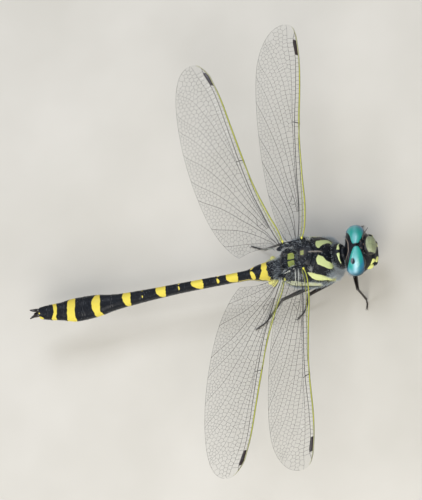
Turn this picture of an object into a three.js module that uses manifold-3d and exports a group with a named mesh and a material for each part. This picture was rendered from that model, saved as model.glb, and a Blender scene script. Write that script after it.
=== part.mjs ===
// A goldenring dragonfly at rest, life size, in millimetres.
// The insect is laid out on its own axis first: x = 0 at the front of the frons with +x forward,
// y = 0 on the midline with +y to the animal's left, z = 0 on the axis of the abdomen with +z up.
// The finished group is then moved so that its origin is on the floor under the middle of its box.
import * as THREE from 'three';
import { LoftGeometry } from 'three/addons/geometries/LoftGeometry.js';
import { mergeVertices } from 'three/addons/utils/BufferGeometryUtils.js';
import Module from 'manifold-3d';

const wasm = await Module();
wasm.setup();

// ---------- driving dimensions ----------
const standHeight = 7.6; // floor to the axis of the abdomen
const jointGap = 0.04; // clearance between neighbouring plates
const bodySides = 20; // facets around the trunk

const eye = {
  halfSpan: 5.3, // midline to the outermost point of an eye
  rise: 3.2, // widest level of the head to the seam where the eyes meet
  level: 1.5, // height of that widest level
  seamX: -3.35,
  cheekX: -4.7, // the middle of the eye at its widest
  halfLength: 2.0,
  halfDepth: 1.7,
  topAngle: 89,
  bottomAngle: -52,
  rings: 13,
  sides: 14,
};

const forewing = {
  length: 44.2,
  rootX: -14.2,
  rootY: 3.15,
  rootZ: 5.75,
  dihedral: 6.5,
  pitch: -4,
  sweep: { left: 4.4, right: 1.9 },
  inner: 1.3, // length of blade that runs on into the thorax
  rootChord: 3.6,
};
const hindwing = {
  length: 43.2,
  rootX: -19.2,
  rootY: 3.85,
  rootZ: 3.85,
  dihedral: 5.5,
  pitch: -4,
  sweep: { left: -18.2, right: -14 },
  inner: 1.1,
  rootChord: 2.4,
};
const wingThickness = 0.5;

// ---------- materials ----------
const cuticle = { black: 0x17181a, yellow: 0xe3d12f, olive: 0xb9bb84, leg: 0x1d1a19 };
const finish = {
  black: () => new THREE.MeshStandardMaterial({ color: cuticle.black, roughness: 0.45 }),
  yellow: () => new THREE.MeshStandardMaterial({ color: cuticle.yellow, roughness: 0.5 }),
  olive: () => new THREE.MeshStandardMaterial({ color: cuticle.olive, roughness: 0.5 }),
  leg: () => new THREE.MeshStandardMaterial({ color: cuticle.leg, roughness: 0.4 }),
  eye: () => new THREE.MeshStandardMaterial({ color: 0x4fb9b2, roughness: 0.15 }),
  wing: () =>
    new THREE.MeshStandardMaterial({
      color: 0xdfe3d8,
      roughness: 0.2,
      transparent: true,
      opacity: 0.35,
    }),
};

// ---------- helpers ----------
const insect = new THREE.Group();
insect.name = 'dragonfly';

function solidOf(geometry) {
  const bare = new THREE.BufferGeometry();
  bare.setAttribute('position', geometry.attributes.position);
  bare.setIndex(geometry.index);
  const welded = mergeVertices(bare, 1e-4);
  return new wasm.Manifold(
    new wasm.Mesh({
      numProp: 3,
      vertProperties: new Float32Array(welded.attributes.position.array),
      triVerts: new Uint32Array(welded.index.array),
    }),
  );
}

function geometryOf(solid) {
  const shell = solid.getMesh();
  const geometry = new THREE.BufferGeometry();
  geometry.setAttribute('position', new THREE.BufferAttribute(shell.vertProperties, 3));
  geometry.setIndex(new THREE.BufferAttribute(shell.triVerts, 1));
  geometry.computeVertexNormals();
  return geometry;
}

// Takes each tool out of the solid and keeps the largest body that is left.
function carve(solid, ...tools) {
  let left = solid;
  for (const tool of tools) left = left.subtract(tool);
  const bodies = left.decompose();
  bodies.sort((a, b) => b.volume() - a.volume());
  return bodies[0];
}

function addNode(name, solid, material) {
  const mesh = new THREE.Mesh(geometryOf(solid), material);
  mesh.name = name;
  insect.add(mesh);
}

// One cross-section of the trunk: half width, top, widest level, bottom and squareness at x.
function trunkRing({ x, half, top, mid, bottom, square = 2.2, y = 0 }, sides, grow) {
  const points = [];
  for (let i = 0; i < sides; i++) {
    const angle = (2 * Math.PI * i) / sides;
    const across = Math.sign(Math.cos(angle)) * Math.abs(Math.cos(angle)) ** (2 / square);
    const upward = Math.sign(Math.sin(angle)) * Math.abs(Math.sin(angle)) ** (2 / square);
    const reach = upward > 0 ? top + grow - mid : mid - bottom + grow;
    points.push(new THREE.Vector3(x, y + (half + grow) * across, mid + reach * upward));
  }
  return points;
}

// A closed body through cross-sections that are listed from the front to the rear.
function trunkLoft(stations, { sides = bodySides, grow = 0 } = {}) {
  const rings = stations.map((station, i) => {
    let shift = 0;
    if (i === 0) shift = grow;
    if (i === stations.length - 1) shift = -grow;
    return trunkRing({ ...station, x: station.x + shift }, sides, grow);
  });
  rings.reverse();
  return solidOf(new LoftGeometry(rings, { capStart: true, capEnd: true }));
}

// A round limb through the given points, each with its own diameter.
function limbLoft(points, diameters, { sides = 8, grow = 0 } = {}) {
  const rings = points.map((point, i) => {
    const before = points[Math.max(i - 1, 0)];
    const after = points[Math.min(i + 1, points.length - 1)];
    const along = after.clone().sub(before).normalize();
    const helper = Math.abs(along.z) > 0.9 ? new THREE.Vector3(1, 0, 0) : new THREE.Vector3(0, 0, 1);
    const u = new THREE.Vector3().crossVectors(helper, along).normalize();
    const v = new THREE.Vector3().crossVectors(along, u);
    const centre = point.clone();
    if (i === 0) centre.addScaledVector(along, -grow);
    if (i === points.length - 1) centre.addScaledVector(along, grow);
    const radius = diameters[i] / 2 + grow;
    const ring = [];
    for (let k = 0; k < sides; k++) {
      const angle = (2 * Math.PI * k) / sides;
      ring.push(
        centre
          .clone()
          .addScaledVector(u, radius * Math.cos(angle))
          .addScaledVector(v, radius * Math.sin(angle)),
      );
    }
    return ring;
  });
  return solidOf(new LoftGeometry(rings, { capStart: true, capEnd: true }));
}

function ellipsoid(centre, radii, segments = [14, 10]) {
  const geometry = new THREE.SphereGeometry(1, ...segments);
  geometry.scale(...radii);
  geometry.translate(...centre);
  return solidOf(geometry);
}

const mirrored = (point, sign) => new THREE.Vector3(point[0], sign * point[1], point[2]);
const sidesOfBody = [
  ['left', 1],
  ['right', -1],
];

// ---------- eyes ----------
// Each eye follows the outline of the head from the seam on top, out and down over the cheek.
function eyeSolid(sign, grow) {
  const rings = [];
  for (let i = 0; i <= eye.rings; i++) {
    const t = i / eye.rings;
    const turn = THREE.MathUtils.degToRad(THREE.MathUtils.lerp(eye.topAngle, eye.bottomAngle, t));
    const swell = Math.max(Math.sin(Math.PI * t ** 0.9), 0.002) ** 0.55;
    const halfLength = eye.halfLength * swell + grow;
    const halfDepth = eye.halfDepth * swell + grow;
    const outward = new THREE.Vector2(Math.cos(turn) / eye.halfSpan, Math.sin(turn) / eye.rise);
    outward.normalize();
    const sink = eye.halfDepth * swell;
    const y = eye.halfSpan * Math.cos(turn) - sink * outward.x;
    const z = eye.level + eye.rise * Math.sin(turn) - sink * outward.y;
    const x = THREE.MathUtils.lerp(eye.seamX, eye.cheekX, Math.min(t / 0.5, 1));
    const ring = [];
    for (let k = 0; k < eye.sides; k++) {
      const angle = (2 * Math.PI * k) / eye.sides;
      const deep = halfDepth * Math.cos(angle);
      ring.push(
        new THREE.Vector3(
          x + sign * halfLength * Math.sin(angle),
          sign * (y + deep * outward.x),
          z + deep * outward.y,
        ),
      );
    }
    rings.push(ring);
  }
  return solidOf(new LoftGeometry(rings, { capStart: true, capEnd: true }));
}
for (const [side, sign] of sidesOfBody) {
  addNode(`eye_${side}`, eyeSolid(sign, 0), finish.eye());
}

// ---------- face and head capsule ----------
const fronsStations = [
  { x: 0.15, half: 0.85, top: 3.3, mid: 2.7, bottom: 1.9 },
  { x: -0.05, half: 1.4, top: 3.7, mid: 2.7, bottom: 1.35 },
  { x: -0.6, half: 1.8, top: 4.15, mid: 2.7, bottom: 1.0 },
  { x: -1.3, half: 1.95, top: 4.3, mid: 2.7, bottom: 0.9 },
  { x: -1.9, half: 1.85, top: 4.0, mid: 2.7, bottom: 0.95 },
];
const clypeusStations = [
  { x: -0.85, half: 1.4, top: 0.75, mid: 0.1, bottom: -0.5 },
  { x: -1.1, half: 2.0, top: 0.86, mid: 0.1, bottom: -0.7 },
  { x: -1.8, half: 2.65, top: 0.86, mid: 0.1, bottom: -0.8 },
  { x: -2.7, half: 2.95, top: 0.86, mid: 0.1, bottom: -0.8 },
];
const labrumStations = [
  { x: -1.0, half: 1.1, top: -0.95, mid: -1.4, bottom: -1.85 },
  { x: -1.2, half: 1.8, top: -0.84, mid: -1.4, bottom: -2.2 },
  { x: -1.7, half: 2.25, top: -0.84, mid: -1.4, bottom: -2.45 },
  { x: -2.4, half: 2.35, top: -0.84, mid: -1.4, bottom: -2.5 },
];
const capsuleStations = [
  { x: -1.2, half: 1.5, top: 2.9, mid: 0.4, bottom: -2.1 },
  { x: -1.8, half: 2.6, top: 3.65, mid: 0.5, bottom: -2.6 },
  { x: -2.6, half: 3.4, top: 4.1, mid: 0.7, bottom: -2.8 },
  { x: -3.4, half: 4.0, top: 4.3, mid: 0.9, bottom: -2.8 },
  { x: -4.5, half: 4.7, top: 4.35, mid: 0.9, bottom: -2.6 },
  { x: -5.7, half: 4.8, top: 4.0, mid: 0.8, bottom: -2.3 },
  { x: -6.5, half: 4.3, top: 3.2, mid: 0.6, bottom: -1.9 },
  { x: -7.0, half: 3.0, top: 2.0, mid: 0.4, bottom: -1.3 },
];
const faceOptions = { sides: 16, grow: jointGap };
const fronsCutter = trunkLoft(fronsStations, faceOptions);
const clypeusCutter = trunkLoft(clypeusStations, faceOptions);
const labrumCutter = trunkLoft(labrumStations, faceOptions);
const eyeCutters = sidesOfBody.map(([, sign]) => eyeSolid(sign, jointGap));

addNode('frons', trunkLoft(fronsStations, { sides: 16 }), finish.olive());
addNode('clypeus', carve(trunkLoft(clypeusStations, { sides: 16 }), fronsCutter), finish.yellow());
addNode('labrum', carve(trunkLoft(labrumStations, { sides: 16 }), clypeusCutter), finish.yellow());

// The capsule carries the raised vertex in front of the seam and the occiput behind it.
const vertex = ellipsoid([-2.45, 0, 3.85], [0.65, 1.1, 0.6], [12, 8]);
const capsuleBlank = trunkLoft(capsuleStations).add(vertex);
addNode(
  'head',
  carve(capsuleBlank, ...eyeCutters, fronsCutter, clypeusCutter, labrumCutter),
  finish.black(),
);
const headCutter = trunkLoft(capsuleStations, { grow: jointGap }).add(
  ellipsoid([-2.45, 0, 3.85], [0.65 + jointGap, 1.1 + jointGap, 0.6 + jointGap]),
);

// ---------- antennae ----------
for (const [side, sign] of sidesOfBody) {
  const root = mirrored([-2.2, 1.2, 3.4], sign);
  const elbow = mirrored([-1.75, 1.95, 4.1], sign);
  const tip = mirrored([-0.5, 3.1, 4.6], sign);
  const feeler = limbLoft([root, elbow, tip], [0.65, 0.55, 0.5], { sides: 6 });
  addNode(`antenna_${side}`, carve(feeler, headCutter, fronsCutter, ...eyeCutters), finish.leg());
}

// ---------- thorax ----------
const prothoraxStations = [
  { x: -6.3, half: 1.2, top: 1.7, mid: 0.2, bottom: -1.1 },
  { x: -7.2, half: 1.8, top: 2.7, mid: 0.2, bottom: -2.0 },
  { x: -7.9, half: 2.35, top: 3.15, mid: 0.1, bottom: -2.6 },
  { x: -8.8, half: 2.6, top: 3.2, mid: 0, bottom: -3.0 },
  { x: -9.5, half: 2.5, top: 3.0, mid: 0, bottom: -3.0 },
];
const thoraxStations = [
  { x: -9.3, half: 2.3, top: 2.6, mid: 0, bottom: -3.2 },
  { x: -9.9, half: 3.4, top: 3.7, mid: -0.1, bottom: -4.2 },
  { x: -11.1, half: 4.2, top: 5.0, mid: -0.3, bottom: -4.8 },
  { x: -12.6, half: 4.6, top: 5.85, mid: -0.5, bottom: -5.0, square: 2.4 },
  { x: -14.2, half: 4.7, top: 6.15, mid: -0.5, bottom: -4.95, square: 2.7 },
  { x: -15.2, half: 4.7, top: 5.95, mid: -0.4, bottom: -4.8, square: 2.9 },
  { x: -16.4, half: 4.65, top: 5.45, mid: -0.2, bottom: -4.5, square: 3.0 },
  { x: -17.6, half: 4.55, top: 4.95, mid: 0, bottom: -4.0, square: 3.0 },
  { x: -19.0, half: 4.3, top: 4.35, mid: 0.1, bottom: -3.2, square: 2.8 },
  { x: -20.1, half: 3.5, top: 3.5, mid: 0.1, bottom: -2.6, square: 2.4 },
  { x: -21.0, half: 2.4, top: 2.4, mid: 0, bottom: -2.15 },
];
const thoraxCutter = trunkLoft(thoraxStations, { grow: jointGap });
const prothoraxCutter = trunkLoft(prothoraxStations, { grow: jointGap });
const notumHollow = ellipsoid([-17.9, 0, 5.6], [1.9, 1.9, 1.75], [14, 10]); // back between the hindwings
addNode('prothorax', carve(trunkLoft(prothoraxStations), headCutter, thoraxCutter), finish.black());
addNode('thorax', carve(trunkLoft(thoraxStations), notumHollow), finish.black());

// ---------- abdomen ----------
// Distance behind the frons, half width, top and bottom of the abdomen: a waist and a club.
const abdomenProfile = [
  [21.0, 2.25, 2.2, -2.15],
  [22.5, 1.95, 2.0, -2.15],
  [24.6, 1.85, 1.95, -2.1],
  [26.6, 1.5, 1.7, -1.75],
  [28.4, 1.05, 1.35, -1.3],
  [31.0, 0.95, 1.2, -1.1],
  [35.6, 0.95, 1.15, -1.1],
  [43.7, 1.02, 1.15, -1.1],
  [51.7, 1.25, 1.25, -1.25],
  [58.3, 1.7, 1.4, -1.45],
  [61.4, 2.25, 1.6, -1.65],
  [64.4, 2.45, 1.65, -1.7],
  [67.0, 2.4, 1.6, -1.7],
  [69.6, 1.85, 1.4, -1.5],
  [71.9, 1.6, 1.2, -1.3],
  [74.1, 1.2, 0.9, -0.95],
];
const segmentEnds = [21.0, 22.5, 28.4, 35.6, 43.7, 51.7, 58.3, 64.4, 68.6, 71.9, 74.1];
const tailLift = { from: 65, to: 77, up: 1.0, left: 0.6 };
const waistSway = { from: 27, to: 60, left: 0.15 }; // the slight bow of the slender segments

function abdomenAt(back) {
  let i = 1;
  while (i < abdomenProfile.length - 1 && abdomenProfile[i][0] < back) i++;
  const [from, to] = [abdomenProfile[i - 1], abdomenProfile[i]];
  const t = THREE.MathUtils.clamp((back - from[0]) / (to[0] - from[0]), 0, 1);
  const bend = THREE.MathUtils.smoothstep(back, tailLift.from, tailLift.to);
  const lift = tailLift.up * bend;
  const along = THREE.MathUtils.clamp((back - waistSway.from) / (waistSway.to - waistSway.from), 0, 1);
  return {
    x: -back,
    y: tailLift.left * bend + waistSway.left * Math.sin(Math.PI * along) ** 2,
    half: THREE.MathUtils.lerp(from[1], to[1], t),
    top: THREE.MathUtils.lerp(from[2], to[2], t) + lift,
    mid: lift,
    bottom: THREE.MathUtils.lerp(from[3], to[3], t) + lift,
  };
}

for (let n = 1; n < segmentEnds.length; n++) {
  const front = segmentEnds[n - 1] + jointGap;
  const rear = segmentEnds[n] - jointGap;
  const stations = [0, 0.25, 0.5, 0.75, 1].map((t) => abdomenAt(THREE.MathUtils.lerp(front, rear, t)));
  let segment = trunkLoft(stations, { sides: 16 });
  if (n === 2) {
    // the male's second segment: an ear-like knob on each side and the genital fossa below
    for (const [, sign] of sidesOfBody) {
      segment = segment.add(ellipsoid([-24.1, sign * 1.85, -0.35], [0.75, 0.6, 0.5], [10, 8]));
    }
    segment = segment.add(ellipsoid([-25.6, 0, -1.95], [1.7, 0.8, 0.75], [12, 8]));
  }
  addNode(`abdomen_${n}`, segment, finish.black());
}

// ---------- claspers at the tail ----------
for (const [side, sign] of sidesOfBody) {
  const tail = abdomenAt(75);
  const root = new THREE.Vector3(-74.16, tail.y + sign * 0.55, tail.mid + 0.3);
  const middle = new THREE.Vector3(-75.1, tail.y + sign * 0.62, tail.mid + 0.35);
  const tip = new THREE.Vector3(-76.1, tail.y + sign * 0.95, tail.mid + 0.25);
  addNode(`cercus_${side}`, limbLoft([root, middle, tip], [0.75, 0.7, 0.5]), finish.black());
}
const plateTail = abdomenAt(75);
const epiproctStations = [
  { x: -74.16, y: plateTail.y, half: 0.8, top: plateTail.mid - 0.2, mid: plateTail.mid - 0.5 },
  { x: -75.5, y: plateTail.y, half: 0.6, top: plateTail.mid - 0.12, mid: plateTail.mid - 0.4 },
].map((station) => ({ ...station, bottom: station.mid - 0.28 }));
addNode('epiproct', trunkLoft(epiproctStations, { sides: 10 }), finish.black());

// ---------- wings ----------
// Outlines run along the span (x) and back across the chord (y), with the costa near y = 0.
function forewingOutline() {
  const { length, inner, rootChord } = forewing;
  const outline = new THREE.Shape();
  outline.moveTo(-inner, 0.3);
  outline.lineTo(0, 0);
  outline.splineThru(
    [
      [0.035, -0.55],
      [0.12, -0.95],
      [0.3, -0.5],
      [0.53, -0.12],
      [0.74, -0.55],
      [0.84, -0.5],
      [0.935, -0.05],
    ].map(([span, chord]) => new THREE.Vector2(span * length, chord)),
  );
  outline.bezierCurveTo(0.972 * length, 0.25, length, 0.9, length, 2.5);
  outline.bezierCurveTo(length, 5.4, 0.94 * length, 7.6, 0.85 * length, 8.7);
  outline.bezierCurveTo(0.73 * length, 10.1, 0.45 * length, 9.2, 0.25 * length, 7.5);
  outline.bezierCurveTo(0.14 * length, 6.5, 0.05 * length, 5.4, 0, rootChord);
  outline.lineTo(-inner, rootChord - 0.2);
  return outline;
}

function hindwingOutline() {
  const { length, inner, rootChord } = hindwing;
  const outline = new THREE.Shape();
  outline.moveTo(-inner, 0.2);
  outline.lineTo(0, 0);
  outline.splineThru(
    [
      [0.045, -0.2],
      [0.15, 0.25],
      [0.3, 0.68],
      [0.45, 0.6],
      [0.62, 0.2],
      [0.8, -0.2],
      [0.905, 0.0],
    ].map(([span, chord]) => new THREE.Vector2(span * length, chord)),
  );
  outline.bezierCurveTo(0.955 * length, 0.55, length, 1.5, length, 3.4);
  outline.bezierCurveTo(length, 6.2, 0.93 * length, 8.3, 0.82 * length, 9.9);
  outline.bezierCurveTo(0.66 * length, 12.2, 0.5 * length, 12.9, 0.36 * length, 13.0);
  outline.bezierCurveTo(0.23 * length, 13.1, 0.11 * length, 12.0, 0.045 * length, 9.9);
  outline.bezierCurveTo(0.05 * length, 8.0, 0.035 * length, 4.6, 0, rootChord);
  outline.lineTo(-inner, rootChord - 0.1);
  return outline;
}

function wingFrame(wing, side, sign) {
  const sweep = THREE.MathUtils.degToRad(wing.sweep[side]);
  const dihedral = THREE.MathUtils.degToRad(wing.dihedral);
  const pitch = THREE.MathUtils.degToRad(wing.pitch);
  const span = new THREE.Vector3(
    Math.sin(sweep) * Math.cos(dihedral),
    sign * Math.cos(sweep) * Math.cos(dihedral),
    Math.sin(dihedral),
  );
  const chord = new THREE.Vector3(-Math.cos(pitch), 0, Math.sin(pitch));
  chord.addScaledVector(span, -chord.dot(span)).normalize();
  const normal = new THREE.Vector3().crossVectors(span, chord);
  const frame = new THREE.Matrix4().makeBasis(span, chord, normal);
  return frame.setPosition(wing.rootX, sign * wing.rootY, wing.rootZ);
}

const blades = [
  ['forewing', forewing, forewingOutline()],
  ['hindwing', hindwing, hindwingOutline()],
];
for (const [name, wing, outline] of blades) {
  for (const [side, sign] of sidesOfBody) {
    const blade = new THREE.ExtrudeGeometry(outline, {
      depth: wingThickness,
      bevelEnabled: false,
      curveSegments: 6,
    });
    blade.translate(0, 0, -wingThickness / 2);
    blade.applyMatrix4(wingFrame(wing, side, sign));
    addNode(`${name}_${side}`, carve(solidOf(blade), thoraxCutter), finish.wing());
  }
}

// ---------- legs ----------
// Joint positions on the left side; each right leg is the mirror image with its own foot shift.
const legPairs = {
  foreleg: {
    left: {
      hip: [-8.3, 1.0, -2.2],
      trochanter: [-7.4, 2.3, -3.7],
      knee: [-6.4, 5.2, -2.6],
      ankle: [-6.7, 6.2, -6.7],
      toe: [-6.4, 8.1, -7.35],
    },
    right: {
      hip: [-8.3, 1.0, -2.2],
      trochanter: [-7.2, 2.5, -3.6],
      knee: [-6.1, 6.8, -2.0],
      ankle: [-6.3, 7.4, -6.7],
      toe: [-6.5, 9.0, -7.35],
    },
    thick: [1.15, 1.15, 0.65, 0.55],
  },
  midleg: {
    left: {
      hip: [-11.6, 1.5, -3.6],
      trochanter: [-12.4, 2.8, -5.0],
      knee: [-16.9, 5.7, -2.6],
      ankle: [-19.3, 6.7, -6.7],
      toe: [-21.4, 8.4, -7.35],
    },
    thick: [1.15, 1.0, 0.65, 0.55],
  },
  hindleg: {
    left: {
      hip: [-15.0, 1.7, -3.6],
      trochanter: [-16.0, 2.9, -4.8],
      knee: [-22.4, 5.9, -1.9],
      ankle: [-27.4, 7.4, -6.7],
      toe: [-30.4, 8.8, -7.35],
    },
    thick: [1.25, 1.05, 0.65, 0.55],
  },
};
const tarsusThick = 0.5;
const floorBlock = new THREE.BoxGeometry(120, 120, 4);
floorBlock.translate(-40, 0, -standHeight - 2);
const floorCutter = solidOf(floorBlock);

for (const [pair, leg] of Object.entries(legPairs)) {
  for (const [side, sign] of sidesOfBody) {
    const joints = leg[side] ?? leg.left;
    const [coxaThick, femurThick, kneeThick, tibiaThick] = leg.thick;
    const hip = mirrored(joints.hip, sign);
    const trochanter = mirrored(joints.trochanter, sign);
    const knee = mirrored(joints.knee, sign);
    const ankle = mirrored(joints.ankle, sign);
    const toe = mirrored(joints.toe, sign);
    const belly = trochanter.clone().lerp(knee, 0.3);
    const heel = ankle.clone().lerp(toe, 0.4).setZ(toe.z + 0.02);

    const shapes = {
      coxa: [[hip, trochanter], [coxaThick + 0.35, coxaThick], 10],
      femur: [[trochanter, belly, knee], [femurThick * 0.8, femurThick, kneeThick + 0.1], 10],
      tibia: [[knee, ankle], [kneeThick, tibiaThick], 8],
      tarsus: [[ankle, heel, toe], [tarsusThick, tarsusThick, tarsusThick], 8],
    };
    const trunk = pair === 'foreleg' ? [prothoraxCutter, thoraxCutter, headCutter] : [thoraxCutter];
    let inner = [];
    for (const [part, [points, diameters, sides]] of Object.entries(shapes)) {
      const limb = limbLoft(points, diameters, { sides });
      const cutters = part === 'tarsus' ? [...inner, floorCutter] : [...inner, ...trunk];
      addNode(`${pair}_${side}_${part}`, carve(limb, ...cutters), finish.leg());
      inner = [limbLoft(points, diameters, { sides, grow: jointGap })];
    }
  }
}

// ---------- set on the floor ----------
const box = new THREE.Box3().setFromObject(insect);
const middle = box.getCenter(new THREE.Vector3());
insect.position.set(-middle.x, -middle.y, standHeight);
insect.updateMatrixWorld(true);

export default insect;
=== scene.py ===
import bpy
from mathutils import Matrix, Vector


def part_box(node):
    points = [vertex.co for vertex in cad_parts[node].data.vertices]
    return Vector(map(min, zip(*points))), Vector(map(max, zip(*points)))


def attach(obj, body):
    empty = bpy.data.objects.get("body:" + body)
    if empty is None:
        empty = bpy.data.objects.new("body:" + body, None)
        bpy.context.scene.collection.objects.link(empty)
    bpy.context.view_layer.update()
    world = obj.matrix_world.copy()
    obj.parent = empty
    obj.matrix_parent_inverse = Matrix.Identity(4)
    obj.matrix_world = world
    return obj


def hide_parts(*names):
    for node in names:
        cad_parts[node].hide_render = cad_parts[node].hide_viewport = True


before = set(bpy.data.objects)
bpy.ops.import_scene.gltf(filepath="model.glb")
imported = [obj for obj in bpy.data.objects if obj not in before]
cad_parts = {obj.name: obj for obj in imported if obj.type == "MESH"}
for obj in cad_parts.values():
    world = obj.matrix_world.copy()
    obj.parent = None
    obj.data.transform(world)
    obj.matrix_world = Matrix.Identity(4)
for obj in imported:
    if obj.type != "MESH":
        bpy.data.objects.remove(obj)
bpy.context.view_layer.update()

import math

import bpy
import mathutils
import numpy as np
from mathutils import Matrix, Vector

# Shapes are laid out in millimetres on the insect's own axis: x = 0 at the front of the frons with
# +x forward, +y to its left, z = 0 on the axis of the abdomen. bodyOrigin is that point in the frame.
mm = 0.001
noseReach = 0.15  # the frons stands this far in front of x = 0
axisHeight = 7.6  # floor to the axis of the abdomen
eyeMiddle = (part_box("eye_left")[1].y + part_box("eye_right")[0].y) / 2
bodyOrigin = np.array([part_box("frons")[1].x / mm - noseReach, eyeMiddle / mm, axisHeight])
random = np.random.default_rng(11)  # one seed, so each run is the same
sidesOfBody = {"left": 1, "right": -1}


# mesh helpers
def smoothStep(low, high, value):
    t = np.clip((value - low) / (high - low), 0, 1)
    return t * t * (3 - 2 * t)


def bell(offset, width):
    return np.exp(-((offset / width) ** 2))


def curveThrough(at, knots, values):
    # a smooth cubic through (knots, values), read at any place along it
    knots, values = np.asarray(knots, float), np.asarray(values, float)
    slopes = np.gradient(values, knots)
    i = np.clip(np.searchsorted(knots, at) - 1, 0, len(knots) - 2)
    span = knots[i + 1] - knots[i]
    t = np.clip((at - knots[i]) / span, 0, 1)
    return (
        (2 * t**3 - 3 * t**2 + 1) * values[i]
        + (t**3 - 2 * t**2 + t) * span * slopes[i]
        + (3 * t**2 - 2 * t**3) * values[i + 1]
        + (t**3 - t**2) * span * slopes[i + 1]
    )


def gridFaces(rows, columns, closed=True):
    i, j = np.meshgrid(np.arange(rows - 1), np.arange(columns if closed else columns - 1), indexing="ij")
    k = (j + 1) % columns
    quads = np.stack([i * columns + j, i * columns + k, (i + 1) * columns + k, (i + 1) * columns + j], -1)
    return quads.reshape(-1, 4)


def closedLoft(rings):
    # rings of points, closed round and capped at both ends
    rows, columns = rings.shape[:2]
    points = np.concatenate([rings.reshape(-1, 3), [rings[0].mean(0)], [rings[-1].mean(0)]])
    j = np.arange(columns)
    k = (j + 1) % columns
    first = np.stack([np.full(columns, rows * columns), k, j], -1)
    last = np.stack([np.full(columns, rows * columns + 1), j, k], -1)
    last[:, 1:] += (rows - 1) * columns
    return points, [gridFaces(rows, columns), first, last]


def facingOut(points, faceSets):
    # turns the faces round if the closed shape is inside out
    volume = 0
    for faces in faceSets:
        a, b = points[faces[:, 0]], points[faces[:, 1]]
        for corner in range(2, faces.shape[1]):
            volume += np.einsum("ij,ij->", a, np.cross(b, points[faces[:, corner]]))
            b = points[faces[:, corner]]
    return faceSets if volume > 0 else [faces[:, ::-1] for faces in faceSets]


def joined(shapes):
    # several (points, faceSets) as one
    allPoints, allFaces, start = [], [], 0
    for points, faceSets in shapes:
        allPoints.append(points)
        allFaces += [faces + start for faces in facingOut(points, faceSets)]
        start += len(points)
    return np.concatenate(allPoints), allFaces


def buildPiece(name, shape, material, replaced=(), values=None, patches=None):
    # one closed mesh from (points, faceSets), with its values for each point and its hair patches
    points, faceSets = shape
    faceSets = facingOut(points, faceSets)
    mesh = bpy.data.meshes.new(name)
    loops = np.concatenate([faces.ravel() for faces in faceSets])
    sizes = np.concatenate([np.full(len(faces), faces.shape[1]) for faces in faceSets])
    mesh.vertices.add(len(points))
    mesh.vertices.foreach_set("co", ((points + bodyOrigin) * mm).astype(np.float32).ravel())
    mesh.loops.add(len(loops))
    mesh.loops.foreach_set("vertex_index", loops.astype(np.int32))
    mesh.polygons.add(len(sizes))
    mesh.polygons.foreach_set("loop_start", (np.cumsum(sizes) - sizes).astype(np.int32))
    mesh.polygons.foreach_set("use_smooth", np.ones(len(sizes), bool))
    mesh.update(calc_edges=True)
    for key, amount in (values or {}).items():
        attribute = mesh.attributes.new(key, "FLOAT", "POINT")
        attribute.data.foreach_set("value", np.asarray(amount, np.float32))
    if patches is not None:
        layer = mesh.uv_layers.new(name="OFBake")
        layer.data.foreach_set("uv", patches[loops].astype(np.float32).ravel())
    mesh.validate()
    piece = bpy.data.objects.new(name, mesh)
    bpy.context.scene.collection.objects.link(piece)
    mesh.materials.append(material)
    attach(piece, "root")
    if replaced:
        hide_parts(*replaced)


def ringAngles(count):
    return np.arange(count) * 2 * math.pi / count


def blob(centre, radii, turns=(20, 12)):
    # a rounded lump
    columns, rows = turns
    up = np.linspace(-1, 1, rows + 1)[1:-1] * math.pi / 2
    around = ringAngles(columns)
    level = np.outer(np.sin(up), np.ones(columns))
    rings = np.stack([np.outer(np.cos(up), np.cos(around)), np.outer(np.cos(up), np.sin(around)), level], -1)
    points, faceSets = closedLoft(rings)
    points[-2], points[-1] = (0, 0, -1), (0, 0, 1)
    return points * np.asarray(radii) + np.asarray(centre), faceSets


def ringsAround(along, sides, flat=1.0):
    # a ring of directions square to each of the given ones
    steep = np.abs(along[..., 2:3]) > 0.9
    u = np.cross(np.where(steep, [1.0, 0, 0], [0, 0, 1.0]), along)
    u /= np.linalg.norm(u, axis=-1, keepdims=True)
    v = np.cross(along, u)
    angle = ringAngles(sides)
    return u[:, None] * np.cos(angle)[:, None] + v[:, None] * (flat * np.sin(angle)[:, None])


def tube(path, radii, sides=8, flat=1.0):
    # a round or flattened tube along a path, thinner where radii are
    path, radii = np.asarray(path, float), np.asarray(radii, float)
    along = np.gradient(path, axis=0)
    along /= np.linalg.norm(along, axis=1, keepdims=True)
    return closedLoft(path[:, None] + ringsAround(along, sides, flat) * radii[:, None, None])


def pathThrough(knots, steps):
    # a smooth path through the knots, with its places counted in knots
    knots = np.array(knots, float)
    s = np.linspace(0, len(knots) - 1, steps)
    return s, np.stack([curveThrough(s, range(len(knots)), knots[:, k]) for k in range(3)], -1)


def rods(starts, ends, radii, sides=5):
    # many straight closed rods at once
    along = ends - starts
    along = along / np.linalg.norm(along, axis=1, keepdims=True)
    ring = ringsAround(along, sides) * np.asarray(radii)[:, None, None]
    points = np.stack([starts[:, None] + ring, ends[:, None] + ring], 1).reshape(-1, 3)
    base = np.arange(len(starts))[:, None] * 2 * sides
    j = np.arange(sides)
    k = (j + 1) % sides
    quads = np.stack([base + j, base + k, base + k + sides, base + j + sides], -1).reshape(-1, 4)
    return points, [quads, base + j[::-1], base + sides + j]


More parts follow.
